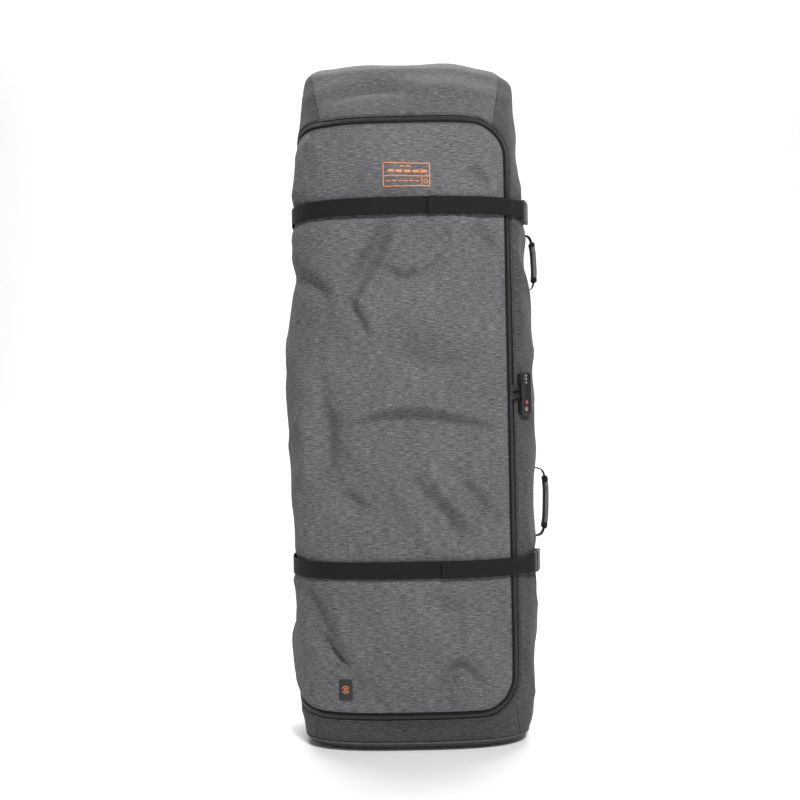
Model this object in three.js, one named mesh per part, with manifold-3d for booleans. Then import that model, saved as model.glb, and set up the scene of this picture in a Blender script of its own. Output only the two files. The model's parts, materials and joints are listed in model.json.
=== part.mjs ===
// Wheeled travel bag for a snowboard, standing upright on its base.
// Millimetres. +Z is up, -Y is the front with the zipped lid, +X is the side with the carry handles.
// The origin is the centre of the flat base, on the floor.

import * as THREE from "three";
import { mergeVertices } from "three/addons/utils/BufferGeometryUtils.js";
import Module from "manifold-3d";

const wasm = await Module();
wasm.setup();

// ---- Driving dimensions ----------------------------------------------------------------------

const HEIGHT = 1455;
const BACK_HALF_WIDTH = 245;
const BACK_DEPTH = 140;
const FRONT_ROUNDNESS = 3;
const BACK_ROUNDNESS = 7;
const BASE_ROUND = 30;
const TOP_ROUND = 45;
const WALL = 8;
const GAP = 0.3;

// Half-width of the front and sides at a few heights: the packed bag bulges between its straps.
const SIDE_STATIONS = [
  [0, 238], [70, 248], [215, 261], [427, 255], [732, 268], [1072, 247], [1290, 233], [1455, 217],
];
// Distance from the middle plane to the zip, which is straight between the two straps.
const ZIP_STATIONS = [
  [0, 82], [45, 100], [83, 116], [240, 130], [1200, 130], [1298, 115], [1368, 92], [1422, 58], [1455, 34],
];
const SIDE_FADE = 60;
const BACK_CROWDING = 2.6;

const ZIP_X = 205;
const ZIP_TOP = 1298;
const ZIP_BOTTOM = 83;
const ZIP_CORNER = 75;
const ZIP_TAPE = 10;
const SLIDER_HALF = 5;
const TAPE_THICK = 3;

const HINGE_X = 245.5;
const HINGE_Y = 60;
// Radius about the hinge line, and how far the zip has run down there.
const HINGE_CORNER = [[0, 28], [70, 23], [120, 14], [160, 5], [190, 0]];
const BACK_SEAM_Y = 112;
const BACK_PANEL_TOP = HEIGHT - 72;
const BASE_TRAY_TOP = 18;
const PANEL_BOTTOM = 24;
const PIPING_Z = 21;
const PIPING_RADIUS = 2.2;

const STRAP_WIDTH = 38;
const STRAP_THICK = 2.2;
const STRAP_LIFT = 2.2;
const STRAPS = {
  upper: { z: 1120, tailStart: 38 },
  lower: { z: 384, tailStart: 52 },
};
const STRAP_END_Y = -100;
const STRAP_LEFT_Y = 42;
const BUCKLE_Y = -66;
const ANCHOR_WEB = { from: -32, to: 14, lift: 1.8 };

// The lock's own frame: X stands out of the bag, Y runs towards the back, Z is up.
const LOCK = { z: 737, x: 228, half: 43, halfWidth: 13.5, back: 2, face: 14 };
const DIAL = { radius: 6, thick: 5, bore: 1.7, rod: 1.4, x: 9, heights: [23, 30, 37] };
const BUTTON = { y: 4.5, half: 4, back: 9.5, face: 16.5, floor: 6.5 };
const KEYWAY = { z: -31, radius: 4.5, back: 8, face: 14.8, slot: { half: 0.6, height: 2.8 } };
const PULLER_SLOT = { z: 12, half: 5, depth: 11, back: 6, front: 10.5 };
const LOCK_PLAY = 0.4;
const SLIDER = {
  z: 741, half: 7, halfWidth: 4.6, space: 8, back: 0.6, plate: 3.8, face: 6.4,
  bridge: { half: 5, halfWidth: 1.6, back: 3.4 },
};
const PULLER = { tip: 14, tail: -3, half: 4, back: 6.9, face: 8.8 };

const HANDLES = {
  upper: { z: 1024, half: 62, reach: 26 },
  lower: { z: 500, half: 76, reach: 36 },
};
const HANDLE_Y = 20;
const HANDLE_LIFT = 9.5;
const HANDLE_WEB = 24;
const HANDLE_WEB_THICK = 3;
const HANDLE_TAPER = { tip: 3, length: 60 };
const HANDLE_GRIP = { width: 26, thick: 11 };
const PATCH = { half: 15, height: 26, lift: 2, thick: 2 };

const STIFFENER = { half: 160, y0: 119, y1: 127, z0: 60, z1: HEIGHT - 100 };
const SOCKET = {
  back: 1, face: 12, mouth: -6, end: 30, half: 22, wall: 1.8, depth: 14, pocket: 17.5,
  window: { back: 3.5, face: 9.5, from: 3, to: 12 },
  webSlot: { back: 3, from: 22, to: 26, half: 19.5 },
};
const PLUG = {
  back: 2.5, face: 10.5, from: -32, to: -7, half: 21, barHalf: 19.5, slots: [[-28, -24], [-19, -15]],
  prong: { back: 5, face: 9.2, from: -8, to: 11, inner: 11.5, outer: 16.5 },
  rib: { to: 9, half: 3 },
};
const WHEEL = { x: 196, y: 128, radius: 40, width: 26, axle: 4 };
const HOUSING = { x0: 168, x1: 226, y0: 72, y1: 139, top: 98, chamfer: 16 };
const RAIL = { x: 130, width: 22, ramp: 22, y0: 140.5, y1: 158, z0: 130, z1: 1340 };

const END_HANDLE = {
  y: 78, half: 62, rise: 24, width: 24, thick: 4, pivot: HEIGHT + 6,
  neck: { half: 3, below: 5, shoulder: 2 },
  patch: { half: 14, lift: 0.4, thick: 2 },
};
const HUB = { radius: 27, dish: 21, dishDeep: 4, boss: 8, inset: 2, bossInset: 0.5 };
const TYRE = { inner: 27.3, edge: 4, bead: 2 };
const WHEEL_SPACE = 4;
const BADGE = { x: -146, z: 140, half: 14, halfHeight: 21, lift: 1.2, thick: 1 };

// ---- Materials -------------------------------------------------------------------------------

const finish = (color, roughness, metalness = 0) => ({ color, roughness, metalness });
const FABRIC = finish("#6b6b6f", 0.95);
const WEBBING = finish("#232323", 0.85);
const ZIP = finish("#262627", 0.6);
const PLASTIC = finish("#1c1c1d", 0.45);
const RUBBER = finish("#1a1a1a", 0.9);
const STEEL = finish("#b5b5b8", 0.3, 0.9);
const BRASS = finish("#b79a5b", 0.35, 0.9);
const PIPING = finish("#8d8d90", 0.8);

// ---- Solids ----------------------------------------------------------------------------------

// A closed three.js geometry as a manifold solid.
function solid(geometry) {
  const bare = geometry.clone();
  bare.deleteAttribute("normal");
  bare.deleteAttribute("uv");
  const merged = mergeVertices(bare, 1e-3);
  return new wasm.Manifold(
    new wasm.Mesh({
      numProp: 3,
      vertProperties: merged.attributes.position.array,
      triVerts: new Uint32Array(merged.index.array),
    }),
  );
}

function box(x0, x1, y0, y1, z0, z1) {
  const g = new THREE.BoxGeometry(x1 - x0, y1 - y0, z1 - z0);
  return solid(g.translate((x0 + x1) / 2, (y0 + y1) / 2, (z0 + z1) / 2));
}

// A cylinder about the axis "x", "y" or "z", centred on a point.
function cylinder(axis, radius, length, centre, sides = 32) {
  const g = new THREE.CylinderGeometry(radius, radius, length, sides);
  if (axis === "x") g.rotateZ(Math.PI / 2);
  if (axis === "z") g.rotateX(Math.PI / 2);
  return solid(g.translate(...centre));
}

// A shape drawn in X and Z, extruded along Y from y0 to y1.
function prismAlongY(shape, y0, y1) {
  const g = new THREE.ExtrudeGeometry(shape, { depth: y1 - y0, bevelEnabled: false, curveSegments: 8 });
  g.rotateX(Math.PI / 2);
  return solid(g.translate(0, y1, 0));
}

// A shape drawn in X and Y, extruded up from z0 to z1.
function prismAlongZ(shape, z0, z1) {
  const g = new THREE.ExtrudeGeometry(shape, { depth: z1 - z0, bevelEnabled: false, curveSegments: 8 });
  return solid(g.translate(0, 0, z0));
}

// A shape drawn in Y and Z, extruded along X from x0 to x1.
function prismAlongX(shape, x0, x1) {
  const g = new THREE.ExtrudeGeometry(shape, { depth: x1 - x0, bevelEnabled: false, curveSegments: 4 });
  g.rotateX(Math.PI / 2);
  g.rotateZ(Math.PI / 2);
  return solid(g.translate(x0, 0, 0));
}

function roundedRect(x0, x1, y0, y1, r) {
  const s = new THREE.Shape();
  s.moveTo(x0 + r, y0);
  s.lineTo(x1 - r, y0);
  s.absarc(x1 - r, y0 + r, r, -Math.PI / 2, 0);
  s.lineTo(x1, y1 - r);
  s.absarc(x1 - r, y1 - r, r, 0, Math.PI / 2);
  s.lineTo(x0 + r, y1);
  s.absarc(x0 + r, y1 - r, r, Math.PI / 2, Math.PI);
  s.lineTo(x0, y0 + r);
  s.absarc(x0 + r, y0 + r, r, Math.PI, 1.5 * Math.PI);
  return s;
}

const root = new THREE.Group();

function add(name, made, look, group = root) {
  const mesh = made.getMesh();
  const g = new THREE.BufferGeometry();
  g.setAttribute("position", new THREE.BufferAttribute(mesh.vertProperties.slice(), 3));
  g.setIndex(new THREE.BufferAttribute(mesh.triVerts.slice(), 1));
  g.computeVertexNormals();
  const part = new THREE.Mesh(g, new THREE.MeshStandardMaterial(look));
  part.name = name;
  group.add(part);
  return part;
}

// ---- The bag's outer surface -----------------------------------------------------------------

// A smooth value between the stations of a table of [height, value].
function along(stations, z) {
  const last = stations.length - 1;
  if (z <= stations[0][0]) return stations[0][1];
  if (z >= stations[last][0]) return stations[last][1];
  const i = stations.findIndex(([height]) => height > z);
  const [z0, v0] = stations[i - 1];
  const [z1, v1] = stations[i];
  const t = (z - z0) / (z1 - z0);
  return v0 + (v1 - v0) * (t * t * (3 - 2 * t) * 0.5 + t * 0.5);
}

// How far the rounded edge at the base or the top pulls the outline in.
function edgeInset(z) {
  if (z < BASE_ROUND) return BASE_ROUND - Math.sqrt(BASE_ROUND ** 2 - (BASE_ROUND - z) ** 2);
  const below = HEIGHT - z;
  if (below < TOP_ROUND) return TOP_ROUND - Math.sqrt(TOP_ROUND ** 2 - (TOP_ROUND - below) ** 2);
  return 0;
}

// The outline's half-width, front depth and back depth at a height.
function section(z, inset = 0) {
  const side = along(SIDE_STATIONS, z);
  const steady = Math.max(side, 236);
  const reach = Math.cbrt(1 - (ZIP_X / steady) ** 3);
  const pull = edgeInset(z) + inset;
  return {
    side: side - pull,
    back: Math.min(BACK_HALF_WIDTH, side + 7) - pull,
    front: along(ZIP_STATIONS, z) / reach - pull,
    depth: BACK_DEPTH - pull,
  };
}

// A point on the outline. turn is 0 at the front and a quarter turn at +X; lift moves it outwards.
function outline(turn, z, lift = 0, inset = 0) {
  const s = section(z, inset);
  const sin = Math.sin(turn);
  const cos = Math.cos(turn);
  const n = cos >= 0 ? FRONT_ROUNDNESS : BACK_ROUNDNESS;
  const across = Math.sign(sin) * Math.abs(sin) ** (2 / n);
  const deep = Math.abs(cos) ** (2 / n);
  const y = cos >= 0 ? -s.front * deep : s.depth * deep;
  const fade = THREE.MathUtils.smoothstep(y, 0, SIDE_FADE);
  const half = s.side + (s.back - s.side) * fade;
  const x = half * across;
  const depth = cos >= 0 ? s.front : s.depth;
  const normal = new THREE.Vector2(
    (Math.sign(x) * Math.abs(x / half) ** (n - 1)) / half,
    (Math.sign(y) * Math.abs(y / depth) ** (n - 1)) / depth,
  ).normalize();
  return new THREE.Vector2(x + normal.x * lift, y + normal.y * lift);
}

// Steps of equal size round the bag, 0 to 1 on the front and 1 to 2 on the back, crowd at its sides.
function turnOfStep(step) {
  const size = Math.abs(step);
  const turn = size <= 1 ? size : 1 + (size - 1) ** BACK_CROWDING;
  return (Math.sign(step) * turn * Math.PI) / 2;
}

function stepOfTurn(turn) {
  const size = (2 * Math.abs(turn)) / Math.PI;
  return Math.sign(turn) * (size <= 1 ? size : 1 + (size - 1) ** (1 / BACK_CROWDING));
}

// The turn at which the outline on the +X side reaches a given y.
function turnAtY(y, z) {
  const s = section(z);
  if (y < 0) return Math.acos((-y / s.front) ** (FRONT_ROUNDNESS / 2));
  return Math.PI / 2 + Math.asin((y / s.depth) ** (BACK_ROUNDNESS / 2));
}

// The turn at which the outline on the front reaches a given x.
function turnAtX(x, z) {
  const s = section(z);
  return Math.asin(Math.sign(x) * (Math.abs(x) / s.side) ** (FRONT_ROUNDNESS / 2));
}

// The whole bag as one solid, pulled in by inset all round.
function bagSolid(inset) {
  const heights = [];
  for (let i = 0; i <= 3; i += 1) heights.push(BASE_ROUND * (1 - Math.cos((i * Math.PI) / 6)));
  for (let z = 70; z < 1300; z += 135) heights.push(z);
  for (let z = 1310; z < HEIGHT - TOP_ROUND - 10; z += 36) heights.push(z);
  for (let i = 0; i <= 3; i += 1) heights.push(HEIGHT - TOP_ROUND * (1 - Math.sin((i * Math.PI) / 6)));
  const squeeze = (HEIGHT - 2 * inset) / HEIGHT;
  const profile = [new THREE.Vector2(0, 0)];
  heights.forEach((z) => profile.push(new THREE.Vector2(1, z)));
  profile.push(new THREE.Vector2(0, HEIGHT));
  const g = new THREE.LatheGeometry(profile, 36);
  g.rotateX(Math.PI / 2);
  const p = g.getAttribute("position");
  for (let i = 0; i < p.count; i += 1) {
    const z = p.getZ(i);
    const radius = Math.hypot(p.getX(i), p.getY(i));
    const step = (2 * Math.atan2(p.getX(i), -p.getY(i))) / Math.PI;
    const edge = outline(turnOfStep(step), z, 0, inset);
    const keep = radius > 0.5 ? 1 : 0;
    p.setXYZ(i, edge.x * keep, edge.y * keep, inset + z * squeeze);
  }
  return solid(g);
}

const bagOuter = bagSolid(0);
const shell = bagOuter.subtract(bagSolid(WALL));
const tapeShell = bagSolid(0.8).subtract(bagSolid(0.8 + TAPE_THICK));

// ---- Cutting the shell into its panels -------------------------------------------------------

// The lid's outline as seen from the front, moved out by grow all round its zipped edge.
function lidShape(grow) {
  const right = ZIP_X + grow;
  const top = ZIP_TOP + grow;
  const bottom = ZIP_BOTTOM - grow;
  const r = ZIP_CORNER + grow;
  const s = new THREE.Shape();
  s.moveTo(-400, bottom);
  s.lineTo(right - r, bottom);
  s.absarc(right - r, bottom + r, r, -Math.PI / 2, 0);
  s.lineTo(right, top - r);
  s.absarc(right - r, top - r, r, 0, Math.PI / 2);
  s.lineTo(-400, top);
  s.closePath();
  return s;
}

// The lid's two corners beside its hinge are rounded about the hinge line, so that it swings clear.
function hingeCorner(grow, way) {
  const edge = way > 0 ? ZIP_TOP + grow : ZIP_BOTTOM - grow;
  const profile = HINGE_CORNER.map(([radius, drop]) => new THREE.Vector2(radius, edge - way * drop));
  profile.push(new THREE.Vector2(HINGE_CORNER.at(-1)[0], edge + way * 40));
  profile.push(new THREE.Vector2(0, edge + way * 40));
  const g = new THREE.LatheGeometry(way > 0 ? profile : profile.reverse(), 64);
  g.rotateX(Math.PI / 2);
  return solid(g.translate(-HINGE_X, HINGE_Y, 0));
}

const FAR = 600;
function lidPrism(grow, hingeGap = 0.5) {
  const front = prismAlongY(lidShape(grow), -FAR, HINGE_Y - hingeGap);
  return front.subtract(hingeCorner(grow, 1)).subtract(hingeCorner(grow, -1));
}

const LID_EDGE = -SLIDER_HALF - 0.5;

const lidFabric = lidPrism(-ZIP_TAPE - 1 - GAP);
const lidTapeInner = lidPrism(-ZIP_TAPE - 1);
const lidTapeOuter = lidPrism(LID_EDGE - GAP);
const bodyTapeInner = lidPrism(LID_EDGE + GAP);
const bodyTapeOuter = lidPrism(ZIP_TAPE + 1);
const lidOpening = lidPrism(ZIP_TAPE + 1 + GAP, 0);

const housingBoxes = [-1, 1].map((side) => {
  const [a, b] = [HOUSING.x0 - 1, HOUSING.x1 + 1].map((x) => x * side).sort((m, n) => m - n);
  return box(a, b, HOUSING.y0 - 1, FAR, -1, HOUSING.top + 1);
});
const base = box(-FAR, FAR, -FAR, FAR, -1, BASE_TRAY_TOP);
const backBox = box(-FAR, FAR, BACK_SEAM_Y, FAR, PANEL_BOTTOM, BACK_PANEL_TOP);
const lessHousings = (made) => housingBoxes.reduce((left, cut) => left.subtract(cut), made);

// The end caps meet the side panels along slanted seams.
function endShape(atZip, atEnd, zipZ, endZ) {
  const s = new THREE.Shape();
  s.moveTo(-atZip, zipZ);
  s.lineTo(atZip, zipZ);
  s.lineTo(atEnd, endZ);
  s.lineTo(-atEnd, endZ);
  s.closePath();
  return s;
}

const END_MARGIN = 20;
const TOP_SEAM = { inner: ZIP_TOP - 19, atInner: 186, atEnd: 210 };
const BOTTOM_SEAM = { inner: ZIP_BOTTOM + 17, atInner: 200, atEnd: 222 };
const topPrism = prismAlongY(
  endShape(TOP_SEAM.atInner, TOP_SEAM.atEnd, TOP_SEAM.inner, HEIGHT + END_MARGIN), -FAR, FAR);
const bottomPrism = prismAlongY(
  endShape(BOTTOM_SEAM.atInner, BOTTOM_SEAM.atEnd, BOTTOM_SEAM.inner, -END_MARGIN), -FAR, 0);

const aboveBase = box(-FAR, FAR, -FAR, FAR, PANEL_BOTTOM, HEIGHT + END_MARGIN);
const body = shell.subtract(lidOpening);
const sides = lessHousings(body.intersect(aboveBase).subtract(backBox));

add("lid_panel", shell.intersect(lidFabric), FABRIC);
add("zip_tape_lid", tapeShell.intersect(lidTapeOuter.subtract(lidTapeInner)), ZIP);
add("zip_tape_body", tapeShell.intersect(bodyTapeOuter.subtract(bodyTapeInner)), ZIP);

const withSeamGap = (made) => made.add(made.translate([GAP, 0, 0])).add(made.translate([-GAP, 0, 0]));
add("top_end_panel", sides.intersect(topPrism), FABRIC);
add("bottom_end_panel", sides.intersect(bottomPrism), FABRIC);
const flanks = sides.subtract(withSeamGap(topPrism)).subtract(withSeamGap(bottomPrism));
add("right_side_panel", flanks.intersect(box(0, FAR, -FAR, FAR, 0, HEIGHT)), FABRIC);
add("left_side_panel", flanks.intersect(box(-FAR, 0, -FAR, FAR, 0, HEIGHT)), FABRIC);
add(
  "back_panel",
  lessHousings(
    body.intersect(box(-FAR, FAR, BACK_SEAM_Y + GAP, FAR, PANEL_BOTTOM + GAP, BACK_PANEL_TOP - GAP)),
  ),
  FABRIC,
);
add("base_tray", lessHousings(shell.intersect(base)), PLASTIC);
add(
  "back_stiffener",
  box(-STIFFENER.half, STIFFENER.half, STIFFENER.y0, STIFFENER.y1, STIFFENER.z0, STIFFENER.z1),
  PLASTIC,
);

// ---- Base piping -----------------------------------------------------------------------------

function basePiping() {
  const points = [];
  const last = turnAtY(HOUSING.y0 - 8, PIPING_Z);
  for (let i = 0; i <= 24; i += 1) {
    const p = outline(last * (i / 12 - 1), PIPING_Z, -1);
    points.push(new THREE.Vector3(p.x, p.y, PIPING_Z));
  }
  const circle = new THREE.Shape().absarc(0, 0, PIPING_RADIUS, 0, 2 * Math.PI);
  return solid(
    new THREE.ExtrudeGeometry(circle, {
      extrudePath: new THREE.CatmullRomCurve3(points),
      steps: 36,
      curveSegments: 4,
      bevelEnabled: false,
    }),
  );
}

add("base_piping", basePiping(), PIPING);

// ---- Local frames on the surface -------------------------------------------------------------

// A group at a point of the outline, with X standing out of the bag and Y running towards the back.
function frameAt(turn, z) {
  const on = outline(turn, z);
  const out = outline(turn, z, 1);
  const group = new THREE.Group();
  group.position.set(on.x, on.y, z);
  group.rotation.z = Math.atan2(out.y - on.y, out.x - on.x);
  root.add(group);
  return group;
}

// ---- Compression straps and their buckles ----------------------------------------------------

// A band that follows the outline between two turns, from lift to lift + thick above the surface.
function band(z, from, to, lift, thick, width) {
  const start = stepOfTurn(from);
  const span = stepOfTurn(to) - start;
  const pieces = Math.max(4, Math.round(Math.abs(span) / 0.06));
  const face = (height) =>
    Array.from({ length: pieces + 1 }, (_, i) => outline(turnOfStep(start + (span * i) / pieces), z, height));
  const shape = new THREE.Shape([...face(lift + thick), ...face(lift).reverse()]);
  return prismAlongZ(shape, z - width / 2, z + width / 2);
}

// The socket half stays on the side panel; its mouth faces the front.
function buckleSocket() {
  const { back, face, mouth, end, half, wall, depth, pocket, window, webSlot } = SOCKET;
  const block = box(back, face, mouth, end, -half, half);
  const inside = box(back + wall, face - wall, mouth - 1, depth, -pocket, pocket);
  const windows = box(window.back, window.face, window.from, window.to, -half - 1, half + 1);
  const slot = box(webSlot.back, face + 1, webSlot.from, webSlot.to, -webSlot.half, webSlot.half);
  return block.subtract(inside).subtract(windows).subtract(slot);
}

// The plug half is on the strap: a ladder for the webbing, two side prongs and a middle rib.
function bucklePlug() {
  const { back, face, from, to, half, barHalf, slots, prong, rib } = PLUG;
  let made = box(back, face, from, to, -half, half);
  for (const [start, end] of slots) {
    made = made.subtract(box(0, face + 1, start, end, -barHalf, barHalf));
  }
  const reach = (tip, low, high) => box(prong.back, prong.face, prong.from, tip, low, high);
  return made
    .add(reach(rib.to, -rib.half, rib.half))
    .add(reach(prong.to, prong.inner, prong.outer))
    .add(reach(prong.to, -prong.outer, -prong.inner));
}

for (const [level, { z, tailStart }] of Object.entries(STRAPS)) {
  const left = -turnAtY(STRAP_LEFT_Y, z);
  const right = turnAtY(STRAP_END_Y, z);
  const tailLift = STRAP_LIFT + STRAP_THICK + 0.4;
  add(`${level}_strap_web`, band(z, left, right, STRAP_LIFT, STRAP_THICK, STRAP_WIDTH), WEBBING);
  const tail = band(z, turnAtX(tailStart, z), right, tailLift, STRAP_THICK, STRAP_WIDTH);
  add(`${level}_strap_tail`, tail, WEBBING);
  const [from, to] = [turnAtY(ANCHOR_WEB.from, z), turnAtY(ANCHOR_WEB.to, z)];
  const anchor = band(z, from, to, ANCHOR_WEB.lift, STRAP_THICK, STRAP_WIDTH);
  add(`${level}_buckle_anchor`, anchor, WEBBING);
  const spot = frameAt(turnAtY(BUCKLE_Y, z), z);
  add(`${level}_buckle_socket`, buckleSocket(), PLASTIC, spot);
  add(`${level}_buckle_plug`, bucklePlug(), PLASTIC, spot);
}

// ---- Combination lock ------------------------------------------------------------------------

function lockHousing() {
  const face = roundedRect(-LOCK.halfWidth, LOCK.halfWidth, -LOCK.half, LOCK.half, 6);
  let made = prismAlongX(face, LOCK.back, LOCK.face);
  for (const z of DIAL.heights) {
    const space = cylinder("z", DIAL.radius + LOCK_PLAY, DIAL.thick + 2 * LOCK_PLAY, [DIAL.x, 0, z], 24);
    const rod = cylinder("z", DIAL.rod, DIAL.thick + 2, [DIAL.x, 0, z], 12);
    made = made.subtract(space.subtract(rod));
  }
  const button = BUTTON.half + LOCK_PLAY;
  made = made.subtract(
    box(BUTTON.floor, LOCK.face + 1, BUTTON.y - button, BUTTON.y + button, -button, button),
  );
  const mouth = -LOCK.halfWidth - 1;
  for (const z of [-PULLER_SLOT.z, PULLER_SLOT.z]) {
    const { half, depth, back, front } = PULLER_SLOT;
    made = made.subtract(box(back, front, mouth, mouth + depth, z - half, z + half));
  }
  const bore = KEYWAY.face - KEYWAY.back + 1;
  const middle = KEYWAY.back - LOCK_PLAY + bore / 2;
  return made.subtract(cylinder("x", KEYWAY.radius + LOCK_PLAY, bore, [middle, 0, KEYWAY.z], 24));
}

function lockDial(z) {
  const disc = cylinder("z", DIAL.radius, DIAL.thick, [DIAL.x, 0, z], 20);
  return disc.subtract(cylinder("z", DIAL.bore, DIAL.thick + 2, [DIAL.x, 0, z], 12));
}

function keyCylinder() {
  const length = KEYWAY.face - KEYWAY.back;
  const barrel = cylinder("x", KEYWAY.radius, length, [(KEYWAY.face + KEYWAY.back) / 2, 0, KEYWAY.z], 24);
  const { slot: cut } = KEYWAY;
  const slot = box(
    KEYWAY.back + 2, KEYWAY.face + 1, -cut.half, cut.half, KEYWAY.z - cut.height, KEYWAY.z + cut.height);
  return barrel.subtract(slot);
}

const lockFrame = frameAt(turnAtX(LOCK.x, LOCK.z), LOCK.z);
add("lock_housing", lockHousing(), PLASTIC, lockFrame);
DIAL.heights.forEach((z, i) => add(`lock_dial_${i + 1}`, lockDial(z), STEEL, lockFrame));
const { y: by, half: bh } = BUTTON;
add("lock_button", box(BUTTON.back, BUTTON.face, by - bh, by + bh, -bh, bh), PLASTIC, lockFrame);
add("lock_key_cylinder", keyCylinder(), BRASS, lockFrame);

// ---- Zip sliders and pullers -----------------------------------------------------------------

function sliderBody() {
  const { half, halfWidth, back, plate, face, bridge } = SLIDER;
  const shape = roundedRect(-halfWidth, halfWidth, -half, half, 3);
  const loop = box(bridge.back, face, -bridge.halfWidth, bridge.halfWidth, -bridge.half, bridge.half);
  return prismAlongX(shape, back, plate).add(loop);
}

function sliderPuller() {
  const tab = roundedRect(PULLER.tail, PULLER.tip, -PULLER.half, PULLER.half, 2.5);
  return prismAlongX(tab, PULLER.back, PULLER.face);
}

for (const [level, way] of [["upper", 1], ["lower", -1]]) {
  const z = SLIDER.z + way * SLIDER.space;
  const spot = frameAt(turnAtX(ZIP_X, z), z);
  add(`${level}_zip_slider`, sliderBody(), STEEL, spot);
  add(`${level}_zip_puller`, sliderPuller(), PLASTIC, spot);
}

// ---- Carry handles ---------------------------------------------------------------------------

// A ribbon of constant thickness along a line of points in X and Z.
function ribbon(points, thick, y0, y1) {
  const side = (sign) =>
    points.map((p, i) => {
      const a = points[Math.max(0, i - 1)];
      const b = points[Math.min(points.length - 1, i + 1)];
      const along2 = new THREE.Vector2().subVectors(b, a).normalize();
      return new THREE.Vector2(p.x - sign * along2.y * thick / 2, p.y + sign * along2.x * thick / 2);
    });
  return prismAlongY(new THREE.Shape([...side(1), ...side(-1).reverse()]), y0, y1);
}

// Narrows a strap towards its pivot line at X = 0, so that it can swing.
function taper() {
  const half = HANDLE_WEB / 2;
  const { tip, length } = HANDLE_TAPER;
  const corners = [[-2, -tip], [0, -tip], [half, -half], [length, -half]];
  const points = [...corners, ...corners.map(([x, y]) => [x, -y]).reverse()];
  const shape = new THREE.Shape(points.map(([x, y]) => new THREE.Vector2(x, y)));
  return prismAlongZ(shape, -length * 2, length * 2);
}

// A carry handle in its own frame: Z along the line through its two anchors, X out of the bag.
for (const [level, { z, half, reach }] of Object.entries(HANDLES)) {
  const surface = (height) => outline(turnAtY(HANDLE_Y, height), height).x;
  const top = surface(z + half);
  const bottom = surface(z - half);
  const group = new THREE.Group();
  group.position.set((top + bottom) / 2 + HANDLE_LIFT, HANDLE_Y, z);
  group.rotation.y = Math.atan2(top - bottom, 2 * half);
  root.add(group);
  const far = reach - HANDLE_LIFT;
  const curve = new THREE.SplineCurve([
    new THREE.Vector2(0, half),
    new THREE.Vector2(0.8 * reach - HANDLE_LIFT, half - 8),
    new THREE.Vector2(far, half * 0.5),
    new THREE.Vector2(far + 1, 0),
    new THREE.Vector2(far, -half * 0.5),
    new THREE.Vector2(0.8 * reach - HANDLE_LIFT, -half + 8),
    new THREE.Vector2(0, -half),
  ]);
  const part = (from, to, steps) =>
    Array.from({ length: steps + 1 }, (_, i) => curve.getPoint(from + ((to - from) * i) / steps));
  const web = (from, to) =>
    ribbon(part(from, to, 6), HANDLE_WEB_THICK, -HANDLE_WEB / 2, HANDLE_WEB / 2).intersect(taper());
  const { width, thick } = HANDLE_GRIP;
  const grip = ribbon(part(0.265, 0.735, 10), thick, -width / 2, width / 2);
  add(`${level}_handle_web_top`, web(0, 0.26), WEBBING, group);
  add(`${level}_handle_grip`, grip, FABRIC, group);
  add(`${level}_handle_web_bottom`, web(0.74, 1), WEBBING, group);
  for (const [end, way] of [["top", 1], ["bottom", -1]]) {
    const patchZ = z + way * half;
    const [front, back] = [-1, 1].map((to) => turnAtY(HANDLE_Y + to * PATCH.half, patchZ));
    const patch = band(patchZ, front, back, PATCH.lift, PATCH.thick, PATCH.height);
    add(`${level}_handle_patch_${end}`, patch, WEBBING);
  }
}

// ---- End handle on top -----------------------------------------------------------------------

function endHandle() {
  const { y, half, rise, width, thick, pivot, neck } = END_HANDLE;
  const grip = HEIGHT + rise - 2.5;
  const curve = new THREE.SplineCurve([
    new THREE.Vector2(-half, pivot),
    new THREE.Vector2(-half * 0.86, HEIGHT + rise * 0.75),
    new THREE.Vector2(-half * 0.45, grip),
    new THREE.Vector2(half * 0.45, grip),
    new THREE.Vector2(half * 0.86, HEIGHT + rise * 0.75),
    new THREE.Vector2(half, pivot),
  ]);
  const shoulder = pivot + width / 2 - neck.shoulder;
  const side = (way) => [
    [y + way * neck.half, pivot - neck.below],
    [y + way * neck.half, pivot],
    [y + way * width / 2, shoulder],
    [y + way * width / 2, pivot + 2 * rise],
  ];
  const corners = [...side(1), ...side(-1).reverse()];
  const shape = new THREE.Shape(corners.map(([a, b]) => new THREE.Vector2(a, b)));
  const strap = ribbon(curve.getPoints(22), thick, y - width / 2, y + width / 2);
  return strap.intersect(prismAlongX(shape, -2 * half, 2 * half));
}

add("end_handle_strap", endHandle(), WEBBING);
for (const [side, way] of [["left", -1], ["right", 1]]) {
  const x = way * END_HANDLE.half;
  const { y, patch } = END_HANDLE;
  const low = HEIGHT + patch.lift;
  const tab = box(x - patch.half, x + patch.half, y - patch.half, y + patch.half, low, low + patch.thick);
  add(`end_handle_patch_${side}`, tab, WEBBING);
}

// ---- Skid rails, wheels and their housings ---------------------------------------------------

function skidRail(x) {
  const { width, ramp, y0, y1, z0, z1 } = RAIL;
  const s = new THREE.Shape();
  s.moveTo(y0, z0);
  s.lineTo(y1, z0 + ramp);
  s.lineTo(y1, z1 - ramp);
  s.lineTo(y0, z1);
  s.closePath();
  return prismAlongX(s, x - width / 2, x + width / 2);
}

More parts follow.
